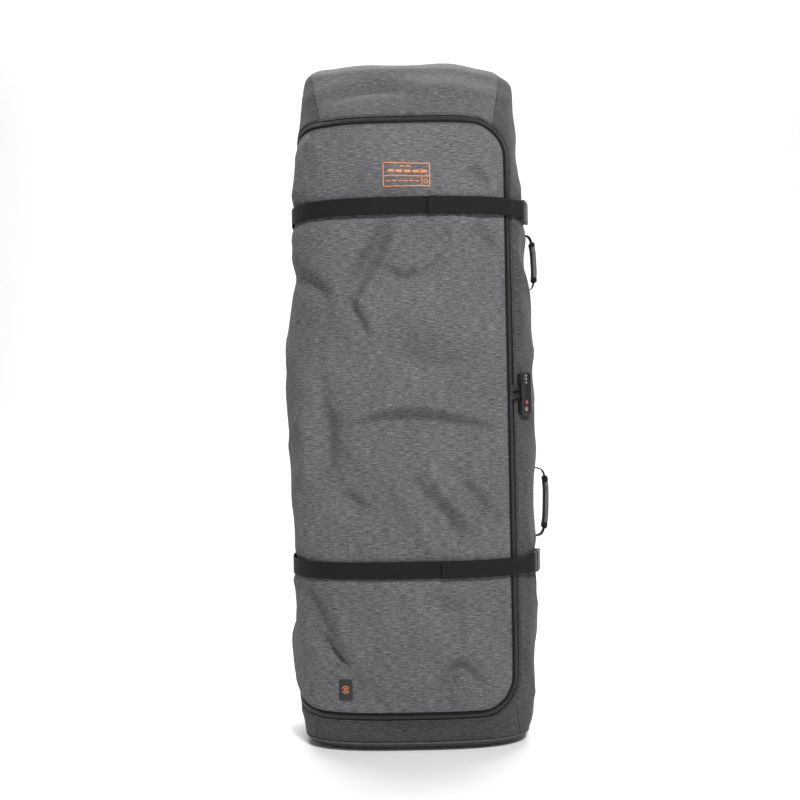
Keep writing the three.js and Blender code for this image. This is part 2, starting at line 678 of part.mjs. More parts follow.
function wheelHousing() {
  const { x0, x1, y0, y1, top, chamfer } = HOUSING;
  const well = WHEEL.radius + WHEEL_SPACE;
  const half = (WHEEL.width + WHEEL_SPACE) / 2;
  const space = cylinder("x", well, 2 * half, [WHEEL.x, WHEEL.y, WHEEL.radius], 28)
    .add(box(WHEEL.x - half, WHEEL.x + half, WHEEL.y, y1 + 20, -5, WHEEL.radius + well))
    .add(box(WHEEL.x - half, WHEEL.x + half, WHEEL.y - well, y1 + 20, -5, WHEEL.radius));
  const bore = cylinder("x", WHEEL.axle + 0.3, x1 - x0 - 4, [WHEEL.x, WHEEL.y, WHEEL.radius], 20);
  const block = prismAlongX(
    new THREE.Shape([
      new THREE.Vector2(y0, 1),
      new THREE.Vector2(y1, 1),
      new THREE.Vector2(y1, top),
      new THREE.Vector2(y0 + chamfer, top),
      new THREE.Vector2(y0, top - chamfer),
    ]),
    x0,
    x1,
  );
  return block.subtract(space).subtract(bore);
}

function wheelHub() {
  const { radius, dish, dishDeep, boss, inset, bossInset } = HUB;
  const { x, y, width, axle } = WHEEL;
  const at = [x, y, WHEEL.radius];
  const outerFace = [x + width / 2, y, WHEEL.radius];
  return cylinder("x", radius, width - 2 * inset, at, 32)
    .subtract(cylinder("x", dish, 2 * dishDeep, outerFace, 28))
    .add(cylinder("x", boss, width - 2 * bossInset, at, 20))
    .subtract(cylinder("x", axle + GAP, width + 4, at, 20));
}

function wheelTyre() {
  const { radius, width } = WHEEL;
  const { inner, edge, bead } = TYRE;
  const profile = [
    new THREE.Vector2(inner, -width / 2 + bead),
    new THREE.Vector2(radius - edge, -width / 2),
    new THREE.Vector2(radius, -width / 2 + edge),
    new THREE.Vector2(radius, width / 2 - edge),
    new THREE.Vector2(radius - edge, width / 2),
    new THREE.Vector2(inner, width / 2 - bead),
    new THREE.Vector2(inner, -width / 2 + bead),
  ];
  const g = new THREE.LatheGeometry(profile, 36);
  g.rotateZ(-Math.PI / 2);
  return solid(g.translate(WHEEL.x, WHEEL.y, WHEEL.radius));
}

const mirrored = (made, way) => (way > 0 ? made : made.mirror([1, 0, 0]));
for (const [side, way] of [["left", -1], ["right", 1]]) {
  const axle = cylinder("x", WHEEL.axle, HOUSING.x1 - HOUSING.x0 - 5, [WHEEL.x, WHEEL.y, WHEEL.radius], 20);
  add(`${side}_skid_rail`, skidRail(way * RAIL.x), PLASTIC);
  add(`${side}_wheel_housing`, mirrored(wheelHousing(), way), PLASTIC);
  add(`${side}_wheel_axle`, mirrored(axle, way), STEEL);
  add(`${side}_wheel_hub`, mirrored(wheelHub(), way), PLASTIC);
  add(`${side}_wheel_tyre`, mirrored(wheelTyre(), way), RUBBER);
}

// ---- Badge -----------------------------------------------------------------------------------

const badgeShape = roundedRect(-BADGE.half, BADGE.half, -BADGE.halfHeight, BADGE.halfHeight, 3);
const badgeFrame = frameAt(turnAtX(BADGE.x, BADGE.z), BADGE.z);
add("badge", prismAlongX(badgeShape, BADGE.lift, BADGE.lift + BADGE.thick), RUBBER, badgeFrame);

export default root;
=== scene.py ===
"""Looks of the wheeled snowboard bag: panels, zip, straps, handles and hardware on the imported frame."""

import json
import math
import bmesh
import bpy
import numpy as np
from mathutils import Matrix, Vector
from mathutils.bvhtree import BVHTree
from mathutils.kdtree import KDTree


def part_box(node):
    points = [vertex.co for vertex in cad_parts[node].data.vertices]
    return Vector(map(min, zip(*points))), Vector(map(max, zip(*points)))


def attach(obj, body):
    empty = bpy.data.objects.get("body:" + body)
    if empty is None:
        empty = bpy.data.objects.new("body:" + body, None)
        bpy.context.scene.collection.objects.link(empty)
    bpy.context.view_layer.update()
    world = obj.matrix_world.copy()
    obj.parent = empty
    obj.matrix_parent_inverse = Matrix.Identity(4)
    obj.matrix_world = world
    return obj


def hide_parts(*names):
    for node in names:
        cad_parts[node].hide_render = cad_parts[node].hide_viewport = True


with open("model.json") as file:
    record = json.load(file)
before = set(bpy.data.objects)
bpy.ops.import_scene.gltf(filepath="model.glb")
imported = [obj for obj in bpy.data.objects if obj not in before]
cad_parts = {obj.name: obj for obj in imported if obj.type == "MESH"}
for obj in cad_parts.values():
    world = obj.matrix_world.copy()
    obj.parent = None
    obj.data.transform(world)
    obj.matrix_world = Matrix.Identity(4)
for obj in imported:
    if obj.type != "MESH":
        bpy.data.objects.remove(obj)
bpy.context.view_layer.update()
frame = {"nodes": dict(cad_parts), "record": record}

NODE_BODY = {n: b for b, ns in frame["record"]["behaviour"]["bodies"].items() for n in ns}

# ---- The bag's driving dimensions, in metres, as in the CAD model -------------------------------

HEIGHT = 1.455
BACK_HALF_WIDTH = 0.245
BACK_DEPTH = 0.14
FRONT_ROUNDNESS = 3
BACK_ROUNDNESS = 7
BASE_ROUND = 0.03
TOP_ROUND = 0.045
SIDE_STATIONS = [(0, 0.238), (0.07, 0.248), (0.215, 0.261), (0.427, 0.255), (0.732, 0.268), (1.072, 0.247),
                 (1.29, 0.233), (1.455, 0.217)]
ZIP_STATIONS = [(0, 0.082), (0.045, 0.1), (0.083, 0.116), (0.24, 0.13), (1.2, 0.13), (1.298, 0.115),
                (1.368, 0.092), (1.422, 0.058), (1.455, 0.034)]
SIDE_FADE = 0.06
ZIP_X = 0.205
ZIP_TOP = 1.298
ZIP_BOTTOM = 0.083
ZIP_CORNER = 0.075
HINGE = (-0.2455, 0.06)
HINGE_CORNER = [(0, 0.028), (0.07, 0.023), (0.12, 0.014), (0.16, 0.005), (0.19, 0)]
BACK_SEAM_Y = 0.112
BACK_TOP = HEIGHT - 0.072
BACK_CORNER = 0.035
BASE_TOP = 0.019
PANEL_BOTTOM = 0.0225
STRAPS = {"upper": 1.12, "lower": 0.384}

# ---- The bag's surface ---------------------------------------------------------------------------


def along(table):
    """The curve through the stations of a table of (height, value)."""
    heights = np.array([t[0] for t in table], float)
    values = np.array([t[1] for t in table], float)
    share = np.linspace(0, 1, 25)
    eased = 0.5 * share * share * (3 - 2 * share) + 0.5 * share
    z = np.concatenate([a + (b - a) * share for a, b in zip(heights[:-1], heights[1:])])
    v = np.concatenate([a + (b - a) * eased for a, b in zip(values[:-1], values[1:])])
    return lambda at: np.interp(at, z, v)


side_at = along(SIDE_STATIONS)
zip_depth_at = along(ZIP_STATIONS)


def smoothstep(x, low=0.0, high=1.0):
    t = np.clip((x - low) / (high - low), 0, 1)
    return t * t * (3 - 2 * t)


def edge_inset(z):
    """How far the rounded base and top pull the outline in at a height."""
    below = np.clip(BASE_ROUND - z, 0, BASE_ROUND)
    above = np.clip(z - (HEIGHT - TOP_ROUND), 0, TOP_ROUND)
    return BASE_ROUND - np.sqrt(BASE_ROUND**2 - below**2) + TOP_ROUND - np.sqrt(TOP_ROUND**2 - above**2)


def section(z):
    """Half-width of the front, half-width of the back, front depth and back depth at a height."""
    side = side_at(z)
    reach = np.cbrt(1 - (ZIP_X / np.maximum(side, 0.236)) ** 3)
    pull = edge_inset(z)
    return (
        side - pull,
        np.minimum(BACK_HALF_WIDTH, side + 0.007) - pull,
        zip_depth_at(z) / reach - pull,
        BACK_DEPTH - pull,
    )


STEPS = np.linspace(-2, 2, 1201)


class Outline:
    """The bag's outline at one height, with s the distance round it from the middle of the front."""

    def __init__(self, z):
        side, back, front, depth = section(z)
        size = np.abs(STEPS)
        turn = np.where(size <= 1, size, 1 + np.maximum(size - 1, 0) ** 2.6) * math.pi / 2
        sin, cos = np.sin(turn), np.cos(turn)
        cos[size >= 2] = -1
        n = np.where(size <= 1, FRONT_ROUNDNESS, BACK_ROUNDNESS)
        across = np.abs(sin) ** (2 / n)
        deep = np.abs(cos) ** (2 / n)
        self.y = np.where(size <= 1, -front * deep, depth * deep)
        half = side + (back - side) * smoothstep(self.y, 0, SIDE_FADE)
        self.x = np.sign(STEPS) * half * across
        self.z = z
        lengths = np.hypot(np.diff(self.x), np.diff(self.y))
        s = np.concatenate([[0], np.cumsum(lengths)])
        self.s = s - s[len(s) // 2]

    def point(self, s):
        s = self.s[0] + np.mod(np.asarray(s) - self.s[0], self.s[-1] - self.s[0])
        return np.stack([np.interp(s, self.s, self.x), np.interp(s, self.s, self.y),
                         np.full_like(s, self.z)], -1)

    def s_at_x(self, x):
        front = np.abs(STEPS) <= 1
        return float(np.interp(x, self.x[front], self.s[front]))

    def s_at_y(self, y, way=1):
        part = STEPS * way >= 0
        ys, ss = self.y[part], self.s[part]
        if way < 0:
            ys, ss = ys[::-1], ss[::-1]
        return float(np.interp(y, ys, ss))

    def s_at_back_x(self, x):
        """Where the back of the outline reaches a positive or negative x."""
        back = STEPS * np.sign(x) >= 1
        xs, ss = np.abs(self.x[back]), self.s[back]
        order = np.argsort(xs)
        return float(np.interp(abs(x), xs[order], ss[order]))


_outlines = {}


def outline(z):
    key = round(float(z), 5)
    if key not in _outlines:
        _outlines[key] = Outline(key)
    return _outlines[key]


def front_y(x, z):
    side, _, front, _ = section(z)
    return -front * np.cbrt(np.clip(1 - np.abs(x / side) ** 3, 0, 1))


def back_y(x, z):
    _, back, _, depth = section(z)
    return depth * np.clip(1 - np.abs(x / back) ** 7, 0, 1) ** (1 / 7)


# ---- The lid's outline ---------------------------------------------------------------------------


def zip_corner_x(z, grow=0.0):
    """X of the lid's right edge at a height, rounded at its two corners."""
    r = ZIP_CORNER + grow
    top, bottom = ZIP_TOP + grow, ZIP_BOTTOM - grow
    up = np.clip(z - (top - r), 0, r)
    down = np.clip((bottom + r) - z, 0, r)
    return ZIP_X + grow - (r - np.sqrt(r * r - up * up)) - (r - np.sqrt(r * r - down * down))


def corner_drop(radius):
    """How far the lid's top and bottom edges run in, at a distance from its hinge."""
    return np.interp(radius, *zip(*HINGE_CORNER))


def hinge_drop(s, z):
    """How far the lid's edges run in towards its hinge, at a place on the left."""
    p = outline(z).point(np.array([s]))[0]
    return float(corner_drop(math.hypot(p[0] - HINGE[0], p[1] - HINGE[1])))


def lid_left_s(z, grow=0.0):
    """Distance round the outline of the lid's left edge at a height."""
    o = outline(z)
    s_hinge = o.s_at_y(HINGE[1], -1)
    edge_gap = min(ZIP_TOP + grow - z, z - (ZIP_BOTTOM - grow))
    if edge_gap >= HINGE_CORNER[0][1]:
        return s_hinge
    tries = np.linspace(s_hinge, o.s_at_x(-0.14), 120)
    drops = np.array([hinge_drop(s, z) for s in tries])
    return float(np.interp(max(edge_gap, 0), drops[::-1], tries[::-1]))


def run_length(points):
    """Distance from the first point to each point of a line."""
    return np.concatenate([[0], np.cumsum(np.linalg.norm(np.diff(points, axis=0), axis=1))])


def spaced(start, end, step):
    return np.linspace(start, end, max(2, int(round(abs(end - start) / step)) + 1))


# ---- Wrinkles ------------------------------------------------------------------------------------

BADGE_AT = (-0.146, 0.140)
FOLD_GAIN = 2.2

# Folds of the front fabric: points in X and Z, half-width, and height, negative for a valley. The
# whole set is moved down the bag by FOLD_DROP.
FOLD_DROP = 0.039
FOLDS = [
    ([(-0.045, 1.122), (-0.085, 1.05), (-0.125, 0.985)], 0.02, -0.012),
    ([(-0.015, 1.11), (-0.055, 1.04), (-0.1, 0.975)], 0.016, 0.008),
    ([(-0.06, 1.04), (-0.02, 1.012), (0.02, 1.012), (0.065, 1.045)], 0.014, -0.007),
    ([(0.13, 1.118), (0.16, 1.085), (0.18, 1.05)], 0.018, -0.01),
    ([(-0.125, 0.968), (-0.105, 0.93), (-0.09, 0.9)], 0.012, -0.008),
    ([(-0.235, 1.03), (-0.19, 0.995), (-0.165, 0.975)], 0.02, -0.009),
    ([(0.13, 1.24), (0.15, 1.2), (0.165, 1.185)], 0.015, -0.007),
    ([(-0.12, 0.735), (-0.06, 0.752), (0.0, 0.762), (0.09, 0.742), (0.175, 0.724)], 0.018, 0.008),
    ([(-0.12, 0.715), (-0.04, 0.728), (0.06, 0.725), (0.16, 0.7)], 0.016, -0.007),
    ([(-0.19, 0.8), (-0.175, 0.72), (-0.18, 0.62)], 0.024, -0.011),
    ([(-0.225, 0.75), (-0.215, 0.68), (-0.22, 0.6)], 0.016, 0.006),
    ([(-0.15, 0.58), (-0.12, 0.555), (-0.1, 0.545)], 0.018, -0.009),
    ([(0.03, 0.62), (0.08, 0.56), (0.14, 0.492)], 0.016, 0.008),
    ([(0.0, 0.6), (0.05, 0.54), (0.1, 0.475)], 0.014, -0.006),
    ([(0.08, 0.62), (0.13, 0.56), (0.175, 0.51)], 0.014, -0.006),
    ([(-0.21, 0.29), (-0.16, 0.24), (-0.125, 0.205)], 0.008, -0.006),
    ([(0.05, 0.165), (0.085, 0.225), (0.13, 0.18)], 0.016, -0.009),
    ([(0.07, 0.155), (0.09, 0.195), (0.115, 0.165)], 0.01, 0.004),
    ([(-0.235, 0.4), (-0.19, 0.3), (-0.17, 0.2)], 0.026, -0.009),
    ([(-0.15, 1.404), (-0.07, 1.419), (0.0, 1.409)], 0.018, -0.009),
    ([(0.02, 0.92), (0.1, 0.9), (0.17, 0.93)], 0.03, 0.005),
    ([(-0.05, 0.87), (0.04, 0.83), (0.12, 0.84)], 0.025, -0.005),
    ([(0.0, 0.36), (0.08, 0.33), (0.15, 0.35)], 0.02, -0.004),
    ([(-0.08, 0.38), (-0.06, 0.3), (-0.08, 0.22)], 0.03, 0.005),
]


def dense_line(points, step=0.004):
    out = []
    for a, b in zip(points[:-1], points[1:]):
        a, b = np.array(a), np.array(b)
        n = max(1, int(np.linalg.norm(b - a) / step))
        out += [a + (b - a) * i / n for i in range(n)]
    return np.array(out + [np.array(points[-1])])


def fold_field(x, z):
    """Height of the listed folds at points of the front."""
    height = np.zeros_like(x)
    for points, width, rise in FOLDS:
        line = dense_line([(x_at, round(z_at - FOLD_DROP, 3)) for x_at, z_at in points])
        for _ in range(12):
            line[1:-1] = 0.5 * line[1:-1] + 0.25 * (line[:-2] + line[2:])
        near = np.full_like(x, 9.0)
        where = np.zeros_like(x)
        for i, p in enumerate(line):
            d = (x - p[0]) ** 2 + (z - p[1]) ** 2
            closer = d < near
            near = np.where(closer, d, near)
            where = np.where(closer, i / (len(line) - 1), where)
        ends = np.sin(np.pi * np.clip(where * 0.86 + 0.07, 0, 1)) ** 0.6
        height += FOLD_GAIN * rise * ends * np.exp(-near / (width * width))
    return height


def hashed(ix, iy, seed):
    h = np.sin(ix * 127.1 + iy * 311.7 + seed * 74.7) * 43758.5453
    return h - np.floor(h)


def value_noise(x, y, seed=0):
    """Smooth noise between -1 and 1, the same on each run."""
    ix, iy = np.floor(x), np.floor(y)
    fx, fy = smoothstep(x - ix), smoothstep(y - iy)
    a, b = hashed(ix, iy, seed), hashed(ix + 1, iy, seed)
    c, d = hashed(ix, iy + 1, seed), hashed(ix + 1, iy + 1, seed)
    return 2 * ((a * (1 - fx) + b * fx) * (1 - fy) + (c * (1 - fx) + d * fx) * fy) - 1


def ripple(s, z, seed):
    """Small irregular waves of slack fabric."""
    warp = 0.02 * value_noise(s * 9, z * 9, seed + 5)
    coarse = value_noise((s + z * 0.6 + warp) * 11, (z - s * 0.3) * 8, seed)
    middle = value_noise((s - z * 0.4 + warp) * 22, (z + s * 0.5) * 17, seed + 1)
    return 0.0026 * coarse + 0.0013 * middle


def ridged(x, z, lengths, seed):
    """Long crease lines between smooth hollows; lengths are across and along the creases."""
    warp = 0.35 * value_noise(x / lengths[0] * 0.6, z / lengths[1] * 0.6, seed + 3)
    return 1 - 2 * np.abs(value_noise(x / lengths[0] + warp, z / lengths[1] - warp, seed)) ** 0.8


def taut(z):
    """0 where a strap holds the cloth down, 1 away from the straps."""
    held = np.ones_like(z)
    for at in STRAPS.values():
        held *= 1 - 0.92 * np.exp(-(((z - at) / 0.036) ** 4))
    return held


def crumple(s, z, seed, amount=1.0):
    """Creases of slack cloth: long diagonal ones, and shorter ones across them."""
    slack = 0.45 + 0.55 * (0.5 + 0.5 * value_noise(s * 5, z * 4, seed + 40))
    diagonal = ridged(s * 0.8 + z * 0.6, z * 0.8 - s * 0.6, (0.11, 0.20), seed + 41)
    counter = ridged(s * 0.7 - z * 0.7, z * 0.7 + s * 0.7, (0.075, 0.15), seed + 42)
    fine = ridged(s * 0.9 + z * 0.3, z * 0.9 - s * 0.3, (0.035, 0.07), seed + 43)
    return amount * taut(z) * slack * (0.0075 * diagonal + 0.0046 * counter + 0.0014 * fine)


def pucker(s, z, at, seed):
    """Short gathers above and below a strap."""
    away = z - at
    wave = np.sin(2 * np.pi * (s / 0.034 + 0.6 * value_noise(s * 14, z * 3, seed)))
    near = np.exp(-((np.abs(away) - 0.024) / 0.02) ** 2) * (np.abs(away) > 0.012)
    return 0.0016 * wave * near * (0.5 + 0.5 * value_noise(s * 7, z * 0, seed + 2))


def strap_press(z):
    """The fabric is pulled in under each strap and swells beside it."""
    press = np.zeros_like(z)
    for at in STRAPS.values():
        press -= 0.0035 * np.exp(-(((z - at) / 0.024) ** 4))
        press += 0.0018 * np.exp(-(((np.abs(z - at) - 0.045) / 0.02) ** 2))
    return press


# ---- Meshes from grids ---------------------------------------------------------------------------


def normals_of(grid):
    du = np.gradient(grid, axis=1)
    dv = np.gradient(grid, axis=0)
    n = np.cross(du, dv)
    return n / np.maximum(np.linalg.norm(n, axis=2, keepdims=True), 1e-9)


def mesh_piece(name, verts, faces, materials, smooth=True, uv=None):
    mesh = bpy.data.meshes.new(name)
    mesh.from_pydata([tuple(v) for v in verts], [], faces)
    if uv is not None:
        layer = mesh.uv_layers.new(name="fabric")
        loops = np.zeros(len(mesh.loops), np.int32)
        mesh.loops.foreach_get("vertex_index", loops)
        layer.data.foreach_set("uv", np.asarray(uv, np.float32)[loops].ravel())
    mesh.polygons.foreach_set("use_smooth", [smooth] * len(mesh.polygons))
    for material in materials:
        mesh.materials.append(material)
    piece = bpy.data.objects.new(name, mesh)
    bpy.context.scene.collection.objects.link(piece)
    return piece


def grid_mesh(name, grid, uv, materials, thick=0.0025):
    """A grid of points, shape (rows, columns, 3), as a sheet with a lining inside."""
    m, n = grid.shape[:2]
    index = np.arange(m * n).reshape(m, n)
    a, b, c, d = index[:-1, :-1], index[:-1, 1:], index[1:, 1:], index[1:, :-1]
    faces = np.stack([a, b, c, d], -1).reshape(-1, 4).tolist()
    piece = mesh_piece(name, grid.reshape(-1, 3), faces, materials, True, uv.reshape(-1, 2))
    if thick:
        solid = piece.modifiers.new("thickness", "SOLIDIFY")
        solid.thickness = thick
        solid.offset = -1
        solid.use_even_offset = False
        if len(materials) > 1:
            solid.material_offset = 1
            solid.material_offset_rim = 0
    return piece


def edge_fade(grid, reach=0.02, sides="lrtb"):
    """1 inside a grid and 0 at its named edges: left, right, top and bottom."""
    borders = {"l": grid[:, 0], "r": grid[:, -1], "b": grid[0], "t": grid[-1]}
    points = []
    for side in sides:
        line = borders[side]
        for a, b in zip(line[:-1], line[1:]):
            count = max(1, int(np.linalg.norm(b - a) / 0.0006))
            points += [a + (b - a) * k / count for k in range(count)]
        points.append(line[-1])
    tree = KDTree(len(points))
    for i, point in enumerate(points):
        tree.insert(point, i)
    tree.balance()
    distance = [tree.find(point)[2] for point in grid.reshape(-1, 3)]
    return smoothstep(np.array(distance).reshape(grid.shape[:2]), 0, reach)


def ends_fine(length, step, fine=(0.0, 0.0008, 0.0018, 0.003, 0.0046, 0.007)):
    """Shares of a length, 0 to 1, that crowd at both ends, where the panel turns into its seam."""
    inner = np.linspace(fine[-1], length - fine[-1], max(2, int((length - 2 * fine[-1]) / step) + 1))
    start = np.array(fine[:-1])
    return np.concatenate([start, inner, length - start[::-1]]) / length


def seam_roll(grid, sides="lrtb", drop=0.0022, reach=0.0035):
    """How far the panel's edge turns down into its seam."""
    return drop * (edge_fade(grid, reach, sides) - 1)


# ---- Materials -----------------------------------------------------------------------------------


def new_material(name):
    material = bpy.data.materials.new(name)
    material.use_nodes = True
    tree = material.node_tree
    return material, tree, tree.nodes["Principled BSDF"]


def link(tree, source, target):
    tree.links.new(source, target)


def ramp(tree, source, stops):
    made = tree.nodes.new("ShaderNodeValToRGB")
    elements = made.color_ramp.elements
    while len(elements) < len(stops):
        elements.new(0.5)
    for element, (place, color) in zip(elements, stops):
        element.position = place
        element.color = (*color, 1) if len(color) == 3 else color
    link(tree, source, made.inputs["Fac"])
    return made


def stretched_noise(tree, coords, scale, detail=3.0, roughness=0.6):
    mapping = tree.nodes.new("ShaderNodeMapping")
    mapping.inputs["Scale"].default_value = scale
    link(tree, coords, mapping.inputs["Vector"])
    noise = tree.nodes.new("ShaderNodeTexNoise")
    noise.inputs["Scale"].default_value = 1
    noise.inputs["Detail"].default_value = detail
    noise.inputs["Roughness"].default_value = roughness
    link(tree, mapping.outputs["Vector"], noise.inputs["Vector"])
    return noise.outputs["Fac"]


def math_node(tree, operation, a, b):
    made = tree.nodes.new("ShaderNodeMath")
    made.operation = operation
    for socket, value in zip(made.inputs, (a, b)):
        if isinstance(value, (int, float)):
            socket.default_value = value
        else:
            link(tree, value, socket)
    return made.outputs["Value"]


def fabric_uv(tree):
    uv = tree.nodes.new("ShaderNodeUVMap")
    uv.uv_map = "fabric"
    return uv.outputs["UV"]


def bands(tree, coords, direction, scale, distortion, detail=None):
    wave = tree.nodes.new("ShaderNodeTexWave")
    wave.bands_direction = direction
    wave.inputs["Scale"].default_value = scale
    wave.inputs["Distortion"].default_value = distortion
    if detail is not None:
        wave.inputs["Detail"].default_value = detail
    link(tree, coords, wave.inputs["Vector"])
    return wave.outputs["Fac"]


def blended(tree, parts):
    """The sum of (socket, share) parts."""
    scaled = [math_node(tree, "MULTIPLY", socket, share) for socket, share in parts]
    total = scaled[0]
    for part in scaled[1:]:
        total = math_node(tree, "ADD", total, part)
    return total


def bumped(tree, shader, heights):
    """Chains bumps of (height socket, distance in metres, strength) into the shader's normal."""
    normal = None
    for height, distance, strength in heights:
        bump = tree.nodes.new("ShaderNodeBump")
        bump.inputs["Distance"].default_value = distance
        bump.inputs["Strength"].default_value = strength
        link(tree, height, bump.inputs["Height"])
        if normal:
            link(tree, normal, bump.inputs["Normal"])
        normal = bump.outputs["Normal"]
    link(tree, normal, shader.inputs["Normal"])


def grey(value, tint=(1.0, 1.0, 1.0)):
    return tuple(value * t for t in tint)


def heather(name="heather fabric", low=0.030, high=0.185, scale=1.0):
    """Grey melange polyester: dark and light slubs along the weft, with a fine plain weave."""
    material, tree, shader = new_material(name)
    uv = fabric_uv(tree)
    slub = stretched_noise(tree, uv, (58 * scale, 560 * scale, 1), 2.0, 0.6)
    fibre = stretched_noise(tree, uv, (150 * scale, 1300 * scale, 1), 2.0, 0.6)
    cloud = stretched_noise(tree, uv, (5 * scale, 5 * scale, 1), 2.0, 0.5)
    mixed = blended(tree, [(slub, 0.5), (fibre, 0.42), (cloud, 0.08)])
    tint = (0.985, 0.985, 1.035)
    stops = [(0.36, grey(low, tint)), (0.5, grey(0.42 * (low + high), tint)), (0.64, grey(high, tint))]
    colour = ramp(tree, mixed, stops)
    link(tree, colour.outputs["Color"], shader.inputs["Base Color"])
    shader.inputs["Roughness"].default_value = 0.92
    shader.inputs["Specular IOR Level"].default_value = 0.15
    shader.inputs["Sheen Weight"].default_value = 0.08
    shader.inputs["Sheen Roughness"].default_value = 0.55
    weave = math_node(tree, "MULTIPLY", bands(tree, uv, "X", 330 * scale, 0.6),
                      bands(tree, uv, "Y", 330 * scale, 0.6))
    bumped(tree, shader, [(slub, 0.0006, 0.55), (fibre, 0.0003, 0.5), (weave, 0.0002, 0.6)])
    return material


def lining():
    """Dark plain-weave lining on the inside of the padding."""
    material, tree, shader = new_material("lining")
    coords = tree.nodes.new("ShaderNodeTexCoord")
    noise = stretched_noise(tree, coords.outputs["Object"], (260, 260, 260), 2.0, 0.6)
    colour = ramp(tree, noise, [(0.3, (0.012, 0.012, 0.013)), (0.7, (0.03, 0.03, 0.033))])
    link(tree, colour.outputs["Color"], shader.inputs["Base Color"])
    shader.inputs["Roughness"].default_value = 0.8
    bumped(tree, shader, [(noise, 0.0004, 0.5)])
    return material


def webbing(name="webbing", low=0.002, high=0.010):
    """Black polyester webbing: ribs across it, with fine lengthwise yarns. U runs along the strap."""
    material, tree, shader = new_material(name)
    uv = fabric_uv(tree)
    weave = math_node(tree, "MULTIPLY", bands(tree, uv, "X", 190, 0.9, 1), bands(tree, uv, "Y", 240, 0.5))
    fuzz = stretched_noise(tree, uv, (260, 700, 1), 3.0, 0.65)
    mixed = blended(tree, [(weave, 0.45), (fuzz, 0.55)])
    colour = ramp(tree, mixed, [(0.22, grey(low)), (0.68, grey(high))])
    link(tree, colour.outputs["Color"], shader.inputs["Base Color"])
    shader.inputs["Roughness"].default_value = 0.75
    shader.inputs["Specular IOR Level"].default_value = 0.2
    shader.inputs["Sheen Weight"].default_value = 0.03
    bumped(tree, shader, [(weave, 0.0006, 0.7), (fuzz, 0.0003, 0.5)])
    return material


def zip_tape_material():
    """Black knitted zip tape, with fine ribs along it. U runs along the tape."""
    material, tree, shader = new_material("zip tape")
    uv = fabric_uv(tree)
    rib = bands(tree, uv, "Y", 260, 0.5)
    fuzz = stretched_noise(tree, uv, (500, 500, 1), 2.0, 0.6)
    mixed = blended(tree, [(rib, 0.5), (fuzz, 0.5)])
    colour = ramp(tree, mixed, [(0.25, grey(0.0015)), (0.75, grey(0.007))])
    link(tree, colour.outputs["Color"], shader.inputs["Base Color"])
    shader.inputs["Roughness"].default_value = 0.8
    shader.inputs["Specular IOR Level"].default_value = 0.2
    bumped(tree, shader, [(mixed, 0.0004, 0.6)])
    return material


def moulded(name, color, roughness=0.42, grain=900, bump=0.00012, wear=0.02, metallic=0.0):
    """Moulded plastic or rubber: fine grain, soft mottling and paler worn edges."""
    material, tree, shader = new_material(name)
    coords = tree.nodes.new("ShaderNodeTexCoord")
    fine = stretched_noise(tree, coords.outputs["Object"], (grain, grain, grain), 2.0, 0.5)
    broad = stretched_noise(tree, coords.outputs["Object"], (60, 60, 60), 3.0, 0.6)
    edge = tree.nodes.new("ShaderNodeNewGeometry")
    worn = ramp(tree, edge.outputs["Pointiness"], [(0.5, (0, 0, 0)), (0.6, (1, 1, 1))])
    patchy = math_node(tree, "MULTIPLY", worn.outputs["Color"], broad)
    mix = tree.nodes.new("ShaderNodeMix")
    mix.data_type = "RGBA"
    link(tree, patchy, mix.inputs["Factor"])
    mottle = ramp(tree, broad, [(0.3, tuple(c * 0.8 for c in color)),
                                (0.7, tuple(min(1, c * 1.2) for c in color))])
    link(tree, mottle.outputs["Color"], mix.inputs["A"])
    mix.inputs["B"].default_value = (*[min(1, c + wear) for c in color], 1)
    link(tree, mix.outputs["Result"], shader.inputs["Base Color"])
    gloss = ramp(tree, broad, [(0.3, grey(max(0.05, roughness - 0.08))), (0.7, grey(roughness + 0.08))])
    link(tree, gloss.outputs["Color"], shader.inputs["Roughness"])
    shader.inputs["Metallic"].default_value = metallic
    bumped(tree, shader, [(fine, bump, 0.5), (broad, 0.0002, 0.15)])
    return material


def brushed(name, color, roughness=0.28):
    """Plated metal with fine scratches along its length."""
    material, tree, shader = new_material(name)
    coords = tree.nodes.new("ShaderNodeTexCoord")
    scratch = stretched_noise(tree, coords.outputs["Object"], (2200, 2200, 240), 3.0, 0.6)
    broad = stretched_noise(tree, coords.outputs["Object"], (120, 120, 120), 2.0, 0.5)
    tone = ramp(tree, scratch, [(0.3, tuple(c * 0.8 for c in color)), (0.7, color)])
    link(tree, tone.outputs["Color"], shader.inputs["Base Color"])
    gloss = ramp(tree, broad, [(0.3, grey(roughness - 0.06)), (0.7, grey(roughness + 0.1))])
    link(tree, gloss.outputs["Color"], shader.inputs["Roughness"])
    shader.inputs["Metallic"].default_value = 1.0
    bumped(tree, shader, [(scratch, 0.00006, 0.4)])
    return material


def printed(name, color):
    """Screen print that has sunk a little into the weave."""
    material, tree, shader = new_material(name)
    coords = tree.nodes.new("ShaderNodeTexCoord")
    noise = stretched_noise(tree, coords.outputs["Object"], (500, 500, 500), 3.0, 0.65)
    tone = ramp(tree, noise, [(0.25, tuple(c * 0.55 for c in color)), (0.55, color)])
    link(tree, tone.outputs["Color"], shader.inputs["Base Color"])
    shader.inputs["Roughness"].default_value = 0.75
    bumped(tree, shader, [(noise, 0.0002, 0.5)])
    return material


